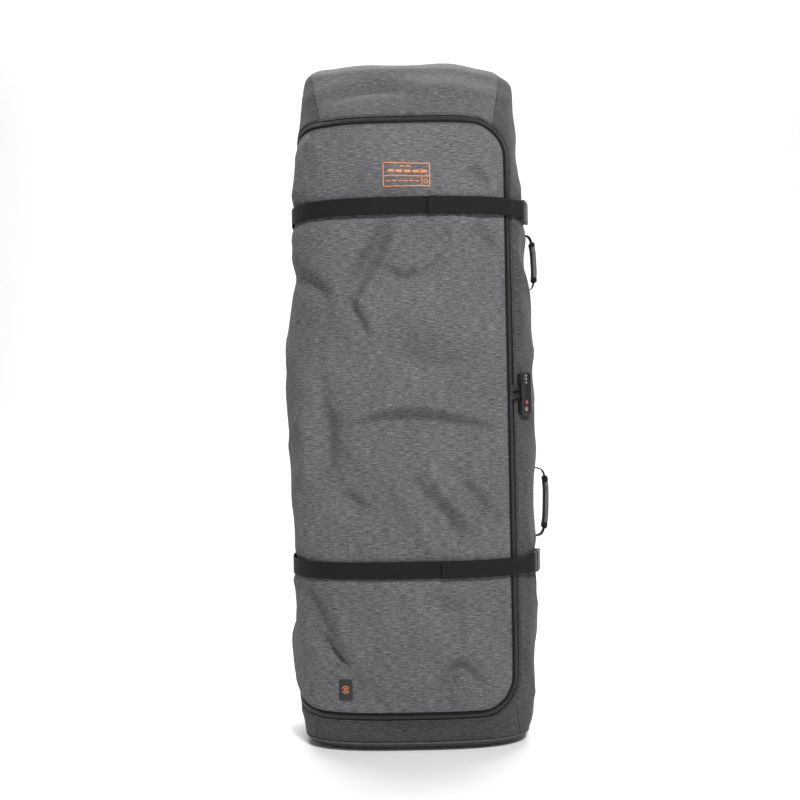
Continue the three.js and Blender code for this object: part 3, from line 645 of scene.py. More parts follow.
HEATHER = heather()
# The top copy is the same fabric made a little darker: painted shade on the top end panel.
SHADED_TOP_HEATHER = heather("top heather fabric with painted shade", 0.026, 0.15)
# The gusset copy is the same fabric made much darker: painted shade where light falls off on the sides,
# shoulders and bottom end.
SHADED_GUSSET_HEATHER = heather("gusset heather fabric with painted shade", 0.014, 0.095)
LINING = lining()
WEBBING = webbing()
THREAD = webbing("thread", 0.006, 0.022)
ZIP_TAPE = zip_tape_material()
COIL = moulded("zip coil", (0.004, 0.004, 0.0045), 0.4, 500)
PLASTIC = moulded("black plastic", (0.009, 0.009, 0.01), 0.4)
TARPAULIN = moulded("coated base cloth", (0.009, 0.008, 0.010), 0.6, 420, 0.0003)
TYRE = moulded("tyre rubber", (0.02, 0.02, 0.02), 0.8, 500, 0.0002, 0.03)
HUB = moulded("wheel hub", (0.05, 0.05, 0.052), 0.45)
STEEL = brushed("plated steel", (0.62, 0.62, 0.63))
DARK_METAL = brushed("dark zip metal", (0.16, 0.16, 0.165), 0.3)
BRASS = brushed("brass", (0.72, 0.55, 0.27), 0.32)
RED = moulded("red marker", (0.42, 0.035, 0.05), 0.4)
WHITE_INK = printed("dial digits", (0.7, 0.7, 0.68))
ORANGE = printed("orange ink", (0.62, 0.22, 0.08))
PIPING = heather("piping cloth", 0.04, 0.13, 1.4)
BADGE = moulded("badge rubber", (0.006, 0.006, 0.006), 0.6, 700)

# ---- Fabric panels -------------------------------------------------------------------------------

LID_GROW = -0.0066
OPENING_GROW = 0.0070
# Each seam is (x, z) at its inner end, then (x, z) at its outer end.
TOP_SEAM_GUESS = 0.186
TOP_SEAM = (0.174, ZIP_TOP - 0.019, 0.21, HEIGHT + 0.02)
BOTTOM_SEAM = (0.2, ZIP_BOTTOM + 0.017, 0.222, -0.02)
STEP = 0.0045
PADDING = 0.006
HOUSING_WINDOW = {"inner": 0.167, "outer": 0.227, "front": 0.071, "top": 0.099}
TRAY_CENTRE = np.array([0, 0.03])
TRAY_COLUMNS = 361


def seam_x(z):
    """X of the slanted seam between an end panel and a side panel."""
    x0, z0, x1, z1 = TOP_SEAM if z > HEIGHT / 2 else BOTTOM_SEAM
    return x0 + (x1 - x0) * (z - z0) / (z1 - z0)


def right_front_s(z):
    """Where the right side panel starts: at the zip, or at the seam above and below it."""
    o = outline(z)
    half = side_at(z) - edge_inset(z)
    inside = ZIP_BOTTOM - OPENING_GROW < z < ZIP_TOP + OPENING_GROW
    at_zip = float(zip_corner_x(z, OPENING_GROW)) if inside else 0.0
    at_seam = seam_x(z) if not BOTTOM_SEAM[1] < z < TOP_SEAM[1] else 0.0
    x = max(at_zip, at_seam)
    return o.s_at_x(x) if x < half else o.s_at_y(0)


def left_front_s(z):
    """Where the left side panel ends: at the lid's hinge, its corners, or the seams."""
    o = outline(z)
    half = side_at(z) - edge_inset(z)
    inside = ZIP_BOTTOM - OPENING_GROW < z < ZIP_TOP + OPENING_GROW
    at_seam = o.s_at_x(-seam_x(z)) if seam_x(z) < half else o.s_at_y(0, -1)
    if not inside:
        return at_seam
    return min(lid_left_s(z, OPENING_GROW), at_seam if not 0.2 < z < 1.2 else 9.0)


def back_seam_s(z, way):
    """The seam between a side panel and the back panel; it rounds the back panel's top corner."""
    o = outline(z)
    side = o.s_at_y(BACK_SEAM_Y, way)
    half = BACK_HALF_WIDTH - edge_inset(z)
    top = o.s_at_back_x(way * seam_x(z)) if seam_x(z) < half else side
    turn = np.clip((z - (BACK_TOP - BACK_CORNER)) / BACK_CORNER, 0, 1)
    return side + (top - side) * (1 - math.sqrt(1 - turn**2)) if z < BACK_TOP else top


def levels(start, end, rounds=(), step=STEP):
    """Heights from start to end, crowded towards each (height, radius, way) where an edge curves."""
    zs = list(spaced(start, end, step))
    zs += [start + d for d in (0.0008, 0.0018, 0.003)] + [end - d for d in (0.0008, 0.0018, 0.003)]
    for height, radius, way in rounds:
        zs += [height + way * radius * (1 - math.cos(t)) for t in np.linspace(0, 1.2, 16)]
    zs = sorted(z for z in zs if start <= z <= end)
    kept = [zs[0]]
    for z in zs[1:]:
        if z - kept[-1] > 0.0002:
            kept.append(z)
    kept[-1] = end
    return kept


def wall_panel(name, zs, start, end, columns, wrinkle, body, replaced, roll="lrtb", cloth=None):
    """A panel of the bag's wall, in rows from start(z) to end(z), with its own wrinkles."""
    middle = zs[len(zs) // 2]
    share = ends_fine(abs(end(middle) - start(middle)), STEP) if columns is None else columns
    rows, uvs = [], []
    for z in zs:
        a, b = start(z), end(z)
        s = a + (b - a) * share
        rows.append(outline(z).point(s))
        uvs.append(np.stack([s, np.full_like(s, z)], -1))
    grid, uv = np.array(rows), np.array(uvs)
    n = normals_of(grid)
    centre = grid.copy()
    centre[..., :2] *= 0.5
    outward = np.sign(np.sum((grid - centre) * n, axis=2, keepdims=True))
    n = n * np.where(outward == 0, 1, outward)
    height = wrinkle(grid, uv) * edge_fade(grid, 0.034) + seam_roll(grid, roll)
    piece = grid_mesh(name, grid + n * height[..., None], uv, [cloth or HEATHER, LINING], PADDING)
    return finish_piece(piece, body, replaced)


def finish_piece(piece, body, replaced=()):
    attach(piece, body)
    if replaced:
        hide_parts(*replaced)
    return piece


def front_wrinkle(grid, uv):
    s, z = uv[..., 0], uv[..., 1]
    height = taut(z) * fold_field(grid[..., 0], z) + ripple(s, z, 1) + crumple(s, z, 4) + strap_press(z)
    for at in STRAPS.values():
        height += pucker(s, z, at, 3 + at)
    from_badge = np.hypot((grid[..., 0] - BADGE_AT[0]) / 0.030, (z - BADGE_AT[1]) / 0.040)
    return height * smoothstep(from_badge, 0.75, 1.5) - 0.0006 * (from_badge < 1)


def side_wrinkle(seed, amount=1.0):
    def wrinkle(grid, uv):
        s, z = uv[..., 0], uv[..., 1]
        long_wave = 0.004 * value_noise(s * 6, z * 2.4, seed + 9)
        height = amount * (ripple(s, z, seed) + long_wave + crumple(s, z, seed, 0.8)) + strap_press(z)
        for at in STRAPS.values():
            height += pucker(s, z, at, seed + at)
        return height

    return wrinkle


def back_wrinkle(grid, uv):
    s, z = uv[..., 0], uv[..., 1]
    return 0.6 * ripple(s, z, 31) + crumple(s, z, 33, 0.35) - 0.001


def lid_panel():
    top, bottom = ZIP_TOP + LID_GROW, ZIP_BOTTOM - LID_GROW
    radius = ZIP_CORNER + LID_GROW
    zs = levels(bottom, top, [(top, radius, -1), (bottom, radius, 1)])
    drops = corner_drop(np.arange(0, 0.19, 0.005))
    zs = np.unique(np.round(np.concatenate([zs, top - drops, bottom + drops]), 5))
    zs = [zs[0]] + [b for a, b in zip(zs[:-1], zs[1:]) if b - a > 0.0002]
    zs[-1] = top
    return wall_panel("lid_fabric", zs, lambda z: lid_left_s(z, LID_GROW),
                      lambda z: outline(z).s_at_x(float(zip_corner_x(z, LID_GROW))),
                      None, front_wrinkle, "lid", ["lid_panel"])


def side_panels():
    top = HEIGHT - 0.012
    rounds = [(ZIP_TOP + OPENING_GROW, ZIP_CORNER, -1), (ZIP_BOTTOM - OPENING_GROW, ZIP_CORNER, 1)]
    rounds.append((BACK_TOP, BACK_CORNER, -1))
    zs = levels(PANEL_BOTTOM, top, rounds)
    # Both side panels use the darkened gusset copy of the fabric: painted shade.
    wall_panel("right_gusset_fabric", zs, right_front_s, lambda z: back_seam_s(z, 1), None,
               side_wrinkle(11), "shell", ["right_side_panel"], cloth=SHADED_GUSSET_HEATHER)
    wall_panel("left_gusset_fabric", zs, lambda z: back_seam_s(z, -1), left_front_s, None,
               side_wrinkle(21, 0.6), "shell", ["left_side_panel"], cloth=SHADED_GUSSET_HEATHER)


def back_panel():
    zs = levels(PANEL_BOTTOM, BACK_TOP, [(BACK_TOP, BACK_CORNER, -1)], 0.007)

    def end(z):
        return back_seam_s(z, -1) + 2 * outline(z).s[-1]

    wall_panel("back_fabric", zs, lambda z: back_seam_s(z, 1), end, None, back_wrinkle, "shell",
               ["back_panel"])


def opening_z(x, way):
    """Height of the opening's edge at an x: its top edge for way 1, its bottom edge for way -1."""
    grow = OPENING_GROW
    r = ZIP_CORNER + grow
    past = np.clip(x - (ZIP_X + grow - r), 0, r)
    edge = (ZIP_TOP + grow) if way > 0 else (ZIP_BOTTOM - grow)
    turned = r - np.sqrt(r * r - past * past)
    y = front_y(x, edge)
    radius = np.hypot(x - HINGE[0], y - HINGE[1])
    drop = np.where(x < 0, corner_drop(radius), 0)
    return edge - way * (turned + drop)


def column_panel(name, shares, path, wrinkle, replaced, roll, cloth):
    """An end panel made of lines that run up the bag, one for each share across it."""
    columns = [path(t) for t in shares]
    grid = np.array(columns).transpose(1, 0, 2)
    steps = np.linalg.norm(np.diff(grid, axis=0), axis=2)
    v = np.concatenate([np.zeros((1, grid.shape[1])), np.cumsum(steps, 0)], 0)
    uv = np.stack([grid[..., 0], grid[0, 0, 2] + v], -1)
    n = normals_of(grid)
    inside = np.array([0, 0.03, 0])
    core = np.stack([grid[..., 0], 0 * v, np.minimum(grid[..., 2], HEIGHT - 0.08)], -1)
    outward = np.sign(np.sum((grid - inside - core) * n, axis=2))
    n *= np.where(outward == 0, 1, outward)[..., None]
    height = wrinkle(grid, uv) * edge_fade(grid, 0.022) + seam_roll(grid, roll)
    piece = grid_mesh(name, grid + n * height[..., None], uv, [cloth, LINING], PADDING)
    return finish_piece(piece, "shell", replaced)


def cap_reach(z):
    """Half-width of the top end panel at a height."""
    return np.minimum(seam_x(z), side_at(z) - edge_inset(z) - 0.0004)


def top_path(t):
    """Up the front from the zip, over the top and down to the back panel."""
    start = opening_z(np.array(t * TOP_SEAM_GUESS), 1)
    for _ in range(4):
        start = float(opening_z(np.array(t * cap_reach(start)), 1))
    ease = np.linspace(0, 1, 34)
    zs = start + (HEIGHT - TOP_ROUND - start) * ease
    zs = np.concatenate([zs, HEIGHT - TOP_ROUND + TOP_ROUND * np.sin(np.linspace(0, math.pi / 2, 16))[1:]])
    front = [(t * cap_reach(z), float(front_y(t * cap_reach(z), z)), z) for z in zs]
    down = np.concatenate([HEIGHT - TOP_ROUND + TOP_ROUND * np.sin(np.linspace(math.pi / 2, 0, 16)),
                           np.linspace(HEIGHT - TOP_ROUND, BACK_TOP, 8)[1:]])
    back = [(t * cap_reach(z), float(back_y(t * cap_reach(z), z)), z) for z in down]
    a, b = np.array(front[-1]), np.array(back[0])
    over = [a + (b - a) * k for k in np.linspace(0, 1, 22)[1:-1]]
    return np.array(front + [tuple(p) for p in over] + back)


def shoulder(side, way):
    """The side panel's top end: it turns over the rounded edge and meets the top end panel."""
    rows = []
    for turn in np.linspace(math.asin(1 - 0.0135 / TOP_ROUND), math.pi / 2, 12):
        z = HEIGHT - TOP_ROUND * (1 - math.sin(turn))
        o = outline(z)
        own = (STEPS * way > 0) & (np.abs(o.x) >= float(cap_reach(z)))
        rows.append(o.point(np.linspace(o.s[own].min(), o.s[own].max(), 90)))
    edge = way * float(cap_reach(HEIGHT))
    for share in (0.3, 0.65, 1.0):
        row = rows[11].copy()
        row[:, 0] += (edge - row[:, 0]) * share
        rows.append(row)
    grid = np.array(rows)
    across = run_length(rows[0])
    up = np.concatenate([np.zeros((1, 90)), np.cumsum(np.linalg.norm(np.diff(grid, axis=0), axis=2), 0)], 0)
    uv = np.stack([np.tile(across, (len(rows), 1)), up], -1)
    # The shoulders use the darkened gusset copy of the fabric: painted shade.
    piece = grid_mesh(f"{side}_shoulder_fabric", grid, uv, [SHADED_GUSSET_HEATHER, LINING], PADDING)
    return finish_piece(piece, "shell", ())


def top_wrinkle(grid, uv):
    x, z = grid[..., 0], grid[..., 2]
    front = grid[..., 1] < 0.02
    return np.where(front, fold_field(x, z), 0) + 0.8 * ripple(uv[..., 0], uv[..., 1], 41)


def bottom_path(t):
    """Up the front from the base tray to the zip."""
    top = float(opening_z(np.array(t * 0.2), -1))
    for _ in range(4):
        top = float(opening_z(np.array(t * seam_x(top)), -1))
    zs = PANEL_BOTTOM + (top - PANEL_BOTTOM) * ends_fine(0.078, 0.0045)
    return np.array([(t * seam_x(z), float(front_y(t * seam_x(z), z)), z) for z in zs])


def end_panels():
    shares = 2 * ends_fine(0.4, STEP) - 1
    # The top end panel uses the darker top copy of the fabric: painted shade.
    column_panel("top_end_fabric", shares, top_path, top_wrinkle, ["top_end_panel"], "lrtb", SHADED_TOP_HEATHER)
    # The bottom end panel uses the darkened gusset copy of the fabric: painted shade.
    column_panel("bottom_end_fabric", shares, bottom_path,
                 lambda g, uv: 1.4 * ripple(uv[..., 0], uv[..., 1], 51), ["bottom_end_panel"], "lrtb",
                 SHADED_GUSSET_HEATHER)


def shoulders():
    shoulder("right", 1)
    shoulder("left", -1)


def base_tray():
    """The coated tray: a rounded rim and a flat bottom, in closed rings."""
    zs = BASE_TOP * np.cos(np.linspace(0, math.pi / 2, 10))
    rings = []
    for z in zs:
        o = outline(max(z, 0.0))
        rings.append(o.point(np.linspace(o.s[0], o.s[-1], TRAY_COLUMNS)))
    last = rings[-1]
    for k in (0.96, 0.85, 0.6, 0.3, 0.0):
        ring = last.copy()
        ring[:, :2] = TRAY_CENTRE + (last[:, :2] - TRAY_CENTRE) * k
        rings.append(ring)
    grid = np.array(rings)
    uv = np.stack([np.tile(np.linspace(0, 1.4, TRAY_COLUMNS), (len(rings), 1)),
                   np.tile(np.arange(len(rings))[:, None] * 0.01, (1, TRAY_COLUMNS))], -1)
    piece = grid_mesh("base_tray_shell", grid[::-1], uv[::-1], [TARPAULIN], 0.0)
    solid = piece.modifiers.new("thickness", "SOLIDIFY")
    solid.thickness = 0.004
    solid.offset = -1
    finish_piece(piece, "shell", ["base_tray"])


def cut_housings(names):
    """Opens the fabric round the two wheel housings."""
    for name in names:
        piece = bpy.data.objects[name]
        bm = bmesh.new()
        bm.from_mesh(piece.data)
        gone = []
        for face in bm.faces:
            c = face.calc_center_median()
            beside = HOUSING_WINDOW["inner"] < abs(c.x) < HOUSING_WINDOW["outer"]
            if beside and c.y > HOUSING_WINDOW["front"] and c.z < HOUSING_WINDOW["top"]:
                gone.append(face)
        bmesh.ops.delete(bm, geom=gone, context="FACES")
        bm.to_mesh(piece.data)
        bm.free()


LID_FABRIC = lid_panel()
side_panels()
back_panel()
end_panels()
shoulders()
base_tray()
cut_housings(["right_gusset_fabric", "left_gusset_fabric", "back_fabric", "base_tray_shell"])

# ---- Small mesh helpers --------------------------------------------------------------------------


def outward_faces(piece):
    bm = bmesh.new()
    bm.from_mesh(piece.data)
    bmesh.ops.recalc_face_normals(bm, faces=bm.faces)
    bm.to_mesh(piece.data)
    bm.free()


def rounded_section(width, thick, corner=0.45, across=7):
    """A flat closed section: (across, up, v) points round a strap's width and thickness."""
    r = thick * corner
    pts = []
    half, top = width / 2, thick / 2
    for sign in (1, -1):
        line = np.linspace(-half + r, half - r, across)[::sign]
        pts += [(a, sign * top) for a in line]
        turn = np.linspace(math.pi / 2, -math.pi / 2, 5)[1:-1]
        for t in turn:
            pts.append((sign * (half - r + r * math.cos(t)), sign * top * math.sin(t)))
    return np.array(pts)


def swept(name, centres, ups, outs, section_of, materials, close_ends=True):
    """A closed section swept along a line; ups carries its width and outs its thickness."""
    n = len(centres)
    rings, uvs = [], []
    lengths = run_length(centres)
    for i in range(n):
        sec = section_of(i / (n - 1))
        rings.append(centres[i] + sec[:, :1] * ups[i] + sec[:, 1:] * outs[i])
        around = run_length(sec)
        uvs.append(np.stack([np.full(len(sec), lengths[i]), around], -1))
    m = len(rings[0])
    verts = np.concatenate(rings)
    faces = [(i * m + j, i * m + (j + 1) % m, (i + 1) * m + (j + 1) % m, (i + 1) * m + j)
             for i in range(n - 1) for j in range(m)]
    if close_ends:
        faces += [tuple(range(m))[::-1], tuple((n - 1) * m + j for j in range(m))]
    piece = mesh_piece(name, verts, faces, materials, True, np.concatenate(uvs))
    outward_faces(piece)
    return piece


def surface_point(z, s, lift):
    """A point lifted off the bag's outline at a height, with its outward normal."""
    o = outline(z)
    p = o.point(np.atleast_1d(s))
    a = o.point(np.atleast_1d(s) - 0.002)
    b = o.point(np.atleast_1d(s) + 0.002)
    tangent = (b - a) / np.maximum(np.linalg.norm(b - a, axis=1, keepdims=True), 1e-9)
    out = np.stack([-tangent[:, 1], tangent[:, 0], 0 * tangent[:, 0]], -1)
    away = np.stack([p[:, 0], p[:, 1], 0 * p[:, 0]], -1)
    out *= np.sign(np.sum(out * away, axis=1, keepdims=True))
    return p + out * np.atleast_1d(lift)[:, None], out


def path_band(name, z, path, width, thick, material, wave=0.0007, seed=0):
    """Webbing that follows points of (distance round the bag, lift) at a height."""
    path = np.array(path)
    length = np.concatenate([[0], np.cumsum(np.hypot(np.diff(path[:, 0]), np.diff(path[:, 1])))])
    at = np.linspace(0, length[-1], max(8, int(length[-1] / 0.0032)))
    s, lift = np.interp(at, length, path[:, 0]), np.interp(at, length, path[:, 1])
    for _ in range(2):
        lift[1:-1] = 0.5 * lift[1:-1] + 0.25 * (lift[:-2] + lift[2:])
        s[1:-1] = 0.5 * s[1:-1] + 0.25 * (s[:-2] + s[2:])
    centres, outs = surface_point(z, s, lift)
    along_path = np.gradient(centres, axis=0)
    along_path /= np.maximum(np.linalg.norm(along_path, axis=1, keepdims=True), 1e-9)
    ups = np.tile([0.0, 0.0, 1.0], (len(s), 1))
    outs = np.cross(ups, along_path)
    centres[:, 2] += wave * value_noise(s * 9, 0 * s, seed)
    sec = rounded_section(width, thick)
    return swept(name, centres, ups, outs, lambda t: sec, [material])


STITCH = (0.0027, 0.0042, 0.00045)


def stitches(name, lines, body):
    """Rows of thread: each line is (points, normals); a stitch is a small raised bar."""
    long, pitch, r = STITCH
    verts, faces = [], []
    for points, normals in lines:
        points, normals = np.array(points, float), np.array(normals, float)
        length = run_length(points)
        for at in np.arange(pitch / 2, length[-1] - long / 2, pitch):
            ends = [np.array([np.interp(at + k * long / 2, length, points[:, c]) for c in range(3)])
                    for k in (-1, 0, 1)]
            n = np.array([np.interp(at, length, normals[:, c]) for c in range(3)])
            n /= np.linalg.norm(n)
            d = (ends[2] - ends[0]) / max(np.linalg.norm(ends[2] - ends[0]), 1e-9)
            w = np.cross(n, d)
            base = len(verts)
            for k, (end, rise, fat) in enumerate(zip(ends, (-0.2, 0.9, -0.2), (0.6, 1.0, 0.6))):
                for turn in range(6):
                    a = turn * math.pi / 3
                    verts.append(end + n * r * (rise + fat * math.sin(a)) + w * r * 1.2 * fat * math.cos(a))
            for k in range(2):
                for turn in range(6):
                    a, b = base + k * 6 + turn, base + k * 6 + (turn + 1) % 6
                    faces.append((a, b, b + 6, a + 6))
            faces.append(tuple(base + t for t in range(6))[::-1])
            faces.append(tuple(base + 12 + t for t in range(6)))
    piece = mesh_piece(name, verts, faces, [THREAD], True, [(v[0], v[2]) for v in verts])
    return finish_piece(piece, body, ())


def refine(node_name, material, width=0.0006, segments=2, name=None):
    """A carried-over CAD solid with its facets merged and its edges rounded."""
    bm = bmesh.new()
    bm.from_mesh(frame["nodes"][node_name].data)
    bmesh.ops.remove_doubles(bm, verts=bm.verts, dist=1e-6)
    bmesh.ops.dissolve_limit(bm, angle_limit=math.radians(1), verts=bm.verts, edges=bm.edges)
    mesh = bpy.data.meshes.new(name or node_name + "_finished")
    bm.to_mesh(mesh)
    bm.free()
    mesh.polygons.foreach_set("use_smooth", [True] * len(mesh.polygons))
    mesh.materials.append(material)
    piece = bpy.data.objects.new(name or node_name + "_finished", mesh)
    bpy.context.scene.collection.objects.link(piece)
    bevel = piece.modifiers.new("rounded edges", "BEVEL")
    bevel.width = width
    bevel.segments = segments
    bevel.limit_method = "ANGLE"
    bevel.angle_limit = math.radians(32)
    bevel.harden_normals = True
    finish_piece(piece, NODE_BODY[node_name], [node_name])
    return piece


# ---- Zip -----------------------------------------------------------------------------------------


def hinge_side_run(grow, way):
    """The zip's line from the hinge round the bag's left side, and its place on the front."""
    edge = ZIP_TOP + grow if way > 0 else ZIP_BOTTOM - grow
    radii = np.linspace(0.004, 0.19, 40)
    points = []
    for radius, drop in zip(radii, corner_drop(radii)):
        z = edge - way * drop
        o = outline(z)
        left = (STEPS > -1.8) & (STEPS < -0.3)
        r = np.hypot(o.x[left] - HINGE[0], o.y[left] - HINGE[1])
        low = np.argmin(r)
        points.append(o.point(np.array([np.interp(radius, r[low:], o.s[left][low:])]))[0])
    return points


def zip_line(grow):
    """The line at a distance outside the zip's middle, from the top of the hinge to its bottom."""
    r = ZIP_CORNER + grow
    cx = ZIP_X - ZIP_CORNER
    start = hinge_side_run(grow, 1)
    flat = [(x, ZIP_TOP + grow) for x in np.linspace(start[-1][0], cx, 52)[1:]]
    corner = [(cx + r * math.sin(a), ZIP_TOP - ZIP_CORNER + r * math.cos(a))
              for a in np.linspace(0, math.pi / 2, 30)[1:]]
    run = [(ZIP_X + grow, z) for z in np.linspace(ZIP_TOP - ZIP_CORNER, ZIP_BOTTOM + ZIP_CORNER, 220)[1:]]
    low = [(cx + r * math.cos(a), ZIP_BOTTOM + ZIP_CORNER - r * math.sin(a))
           for a in np.linspace(0, math.pi / 2, 30)[1:]]
    end = hinge_side_run(grow, -1)[::-1]
    back = [(x, ZIP_BOTTOM - grow) for x in np.linspace(cx, end[0][0], 52)[1:-1]]
    front = [(x, float(front_y(x, z)), z) for x, z in flat + corner + run + low + back]
    return np.array([tuple(p) for p in start] + front + [tuple(p) for p in end])


def zip_frame():
    """Points along the zip's middle with the directions along it, across it and out of the bag."""
    middle, outer = zip_line(0.0), zip_line(0.003)
    forward = np.gradient(middle, axis=0)
    forward /= np.linalg.norm(forward, axis=1, keepdims=True)
    across = outer - middle
    across /= np.linalg.norm(across, axis=1, keepdims=True)
    out = np.cross(forward, across)
    out /= np.linalg.norm(out, axis=1, keepdims=True)
    away = middle * np.array([1, 1, 0])
    out *= np.sign(np.sum(out * away, axis=1, keepdims=True))
    return middle, forward, across, out


def tape(name, side, body, replaced):
    """One side's tape: tucked under the panel's edge, flat, then its rim beside the coil."""
    middle, _, across, out = zip_frame()
    length = run_length(middle)
    profile = [(0.0110, -0.0068), (0.0100, -0.0048), (0.0086, -0.0022), (0.006, -0.0008),
               (0.0042, -0.0006), (0.0003, -0.0010)]
    rows = [middle + across * side * a + out * lift for a, lift in profile]
    grid = np.array(rows)
    uv = np.array([np.stack([length, np.full_like(length, a)], -1) for a, _ in profile])
    if side > 0:
        grid, uv = grid[::-1], uv[::-1]
    piece = grid_mesh(name, grid, uv, [ZIP_TAPE], 0.0008)
    return finish_piece(piece, body, [replaced])


def coil(name, side, body):
    """The coil's teeth: rounded bars across the middle, half a pitch apart on the two sides."""
    middle, forward, across, out = zip_frame()
    length = run_length(middle)
    pitch, half = 0.0026, 0.00085
    verts, faces = [], []
    profile = [(0.0042, -0.0006), (0.0038, 0.0006), (0.0014, 0.0010), (-0.0008, 0.0007), (-0.0010, -0.0004)]
    for at in np.arange(0.004 + (pitch / 2 if side > 0 else 0), length[-1] - 0.004, pitch):
        p, f, a, o = (np.array([np.interp(at, length, v[:, c]) for c in range(3)])
                      for v in (middle, forward, across, out))
        base = len(verts)
        for distance, lift in profile:
            for k in (-1, 1):
                wide = half * (0.7 if lift > 0.0008 else 1.0)
                verts.append(p + a * side * distance + o * lift + f * k * wide)
        count = len(profile)
        for i in range(count - 1):
            faces.append((base + 2 * i, base + 2 * i + 1, base + 2 * i + 3, base + 2 * i + 2))
        faces.append(tuple(base + 2 * i for i in range(count))[::-1])
        faces.append(tuple(base + 2 * i + 1 for i in range(count)))
        faces.append((base, base + 2 * count - 2, base + 2 * count - 1, base + 1))
    piece = mesh_piece(name, verts, faces, [COIL])
    outward_faces(piece)
    return finish_piece(piece, body, ())


def zip_fastener():
    tape("zip_tape_lid_cloth", -1, "lid", "zip_tape_lid")
    tape("zip_tape_body_cloth", 1, "shell", "zip_tape_body")
    coil("zip_coil_lid", -1, "lid")
    coil("zip_coil_body", 1, "shell")
    middle, _, across, out = zip_frame()
    for name, side, body in (("zip_topstitch_lid", -1, "lid"), ("zip_topstitch_body", 1, "shell")):
        line = middle + across * side * 0.0112 + out * 0.0001
        stitches(name, [(line[4:-4], out[4:-4])], body)


def sewn_box(name, z, low, high, half, lift, count, body):
    """Stitches round a box on the bag's surface, and along its diagonal."""
    corners = [(low, -half), (low, half), (high, half), (high, -half), (low, -half), (high, half)]
    lines = []
    for a, b in zip(corners[:-1], corners[1:]):
        share = np.linspace(0, 1, count)
        points, normals = surface_point(z, a[0] + (b[0] - a[0]) * share, np.full(count, lift))
        points[:, 2] += a[1] + (b[1] - a[1]) * share
        lines.append((points, normals))
    stitches(name, lines, body)


# ---- Compression straps --------------------------------------------------------------------------

STRAP_WIDTH = 0.0352
WEB_THICK = 0.0021
TAIL_START = {"upper": 0.038, "lower": 0.052}


def strap(level, z):
    o = outline(z)
    left, right = o.s_at_y(0.042, -1), o.s_at_y(-0.100)
    bar = o.s_at_y(-0.0945)
    tail = o.s_at_x(TAIL_START[level])
    middle = (left + tail) / 2
    path = [(left, 0.0031), (middle, 0.0033), (right - 0.012, 0.0033), (right - 0.004, 0.0016),
            (bar + 0.0015, 0.0013), (bar + 0.0035, 0.0050), (bar + 0.0035, 0.0105), (bar + 0.001, 0.0122),
            (bar - 0.0045, 0.0118), (right - 0.012, 0.0078), (right - 0.022, 0.0059),
            (tail + 0.05, 0.0059), (tail + 0.02, 0.0062), (tail, 0.0068), (tail - 0.0012, 0.0078),
            (tail, 0.0089), (tail + 0.021, 0.0082)]
    piece = path_band(f"{level}_strap_webbing", z, path, STRAP_WIDTH, WEB_THICK, WEBBING, 0.0008, 4)
    finish_piece(piece, f"{level}_strap", [f"{level}_strap_web", f"{level}_strap_tail"])
    lines = []
    for s in (tail + 0.006, tail + 0.0165):
        points, normals = surface_point(z, np.full(9, s), np.full(9, 0.0094))
        points[:, 2] += np.linspace(-0.017, 0.017, 9)
        lines.append((points, normals))
    stitches(f"{level}_strap_hem_stitches", lines, f"{level}_strap")
    box = (left + 0.003, left + 0.03, 0.016, 0.0044, 9)
    sewn_box(f"{level}_strap_box_stitches", z, *box, f"{level}_strap")


def buckle_anchor(level, z):
    """Webbing that loops through the socket half and is sewn to the side panel."""
    o = outline(z)
    slot, sewn = o.s_at_y(-0.043), o.s_at_y(0.014)
    path = [(sewn, 0.0029), (slot + 0.012, 0.0029), (slot + 0.004, 0.0015), (slot - 0.001, 0.0020),
            (slot - 0.0016, 0.006), (slot - 0.0012, 0.0126), (slot + 0.003, 0.0138), (slot + 0.008, 0.0128),
            (slot + 0.016, 0.0070), (slot + 0.026, 0.0052), (sewn - 0.004, 0.0052)]
    piece = path_band(f"{level}_buckle_webbing", z, path, 0.0378, WEB_THICK, WEBBING, 0.0004, 6)
    finish_piece(piece, "shell", [f"{level}_buckle_anchor"])
    sewn_box(f"{level}_anchor_stitches", z, sewn - 0.025, sewn - 0.006, 0.016, 0.0063, 7, "shell")


# ---- Handles -------------------------------------------------------------------------------------

HANDLES = {
    "upper": {"z": 1.024, "half": 0.062, "reach": 0.026},
    "lower": {"z": 0.5, "half": 0.076, "reach": 0.036},
}
HANDLE_Y = 0.02
HANDLE_LIFT = 0.0095
HANDLE_WEB = 0.024


def catmull(points, per=16):
    """A smooth line through points."""
    p = [2 * points[0] - points[1]] + list(points) + [2 * points[-1] - points[-2]]
    out = []
    for i in range(1, len(p) - 2):
        for t in np.linspace(0, 1, per, endpoint=False):
            out.append(0.5 * (2 * p[i] + (p[i + 1] - p[i - 1]) * t
                              + (2 * p[i - 1] - 5 * p[i] + 4 * p[i + 1] - p[i + 2]) * t**2
                              + (3 * p[i] - p[i - 1] - 3 * p[i + 1] + p[i + 2]) * t**3))
    return np.array(out + [p[-2]])


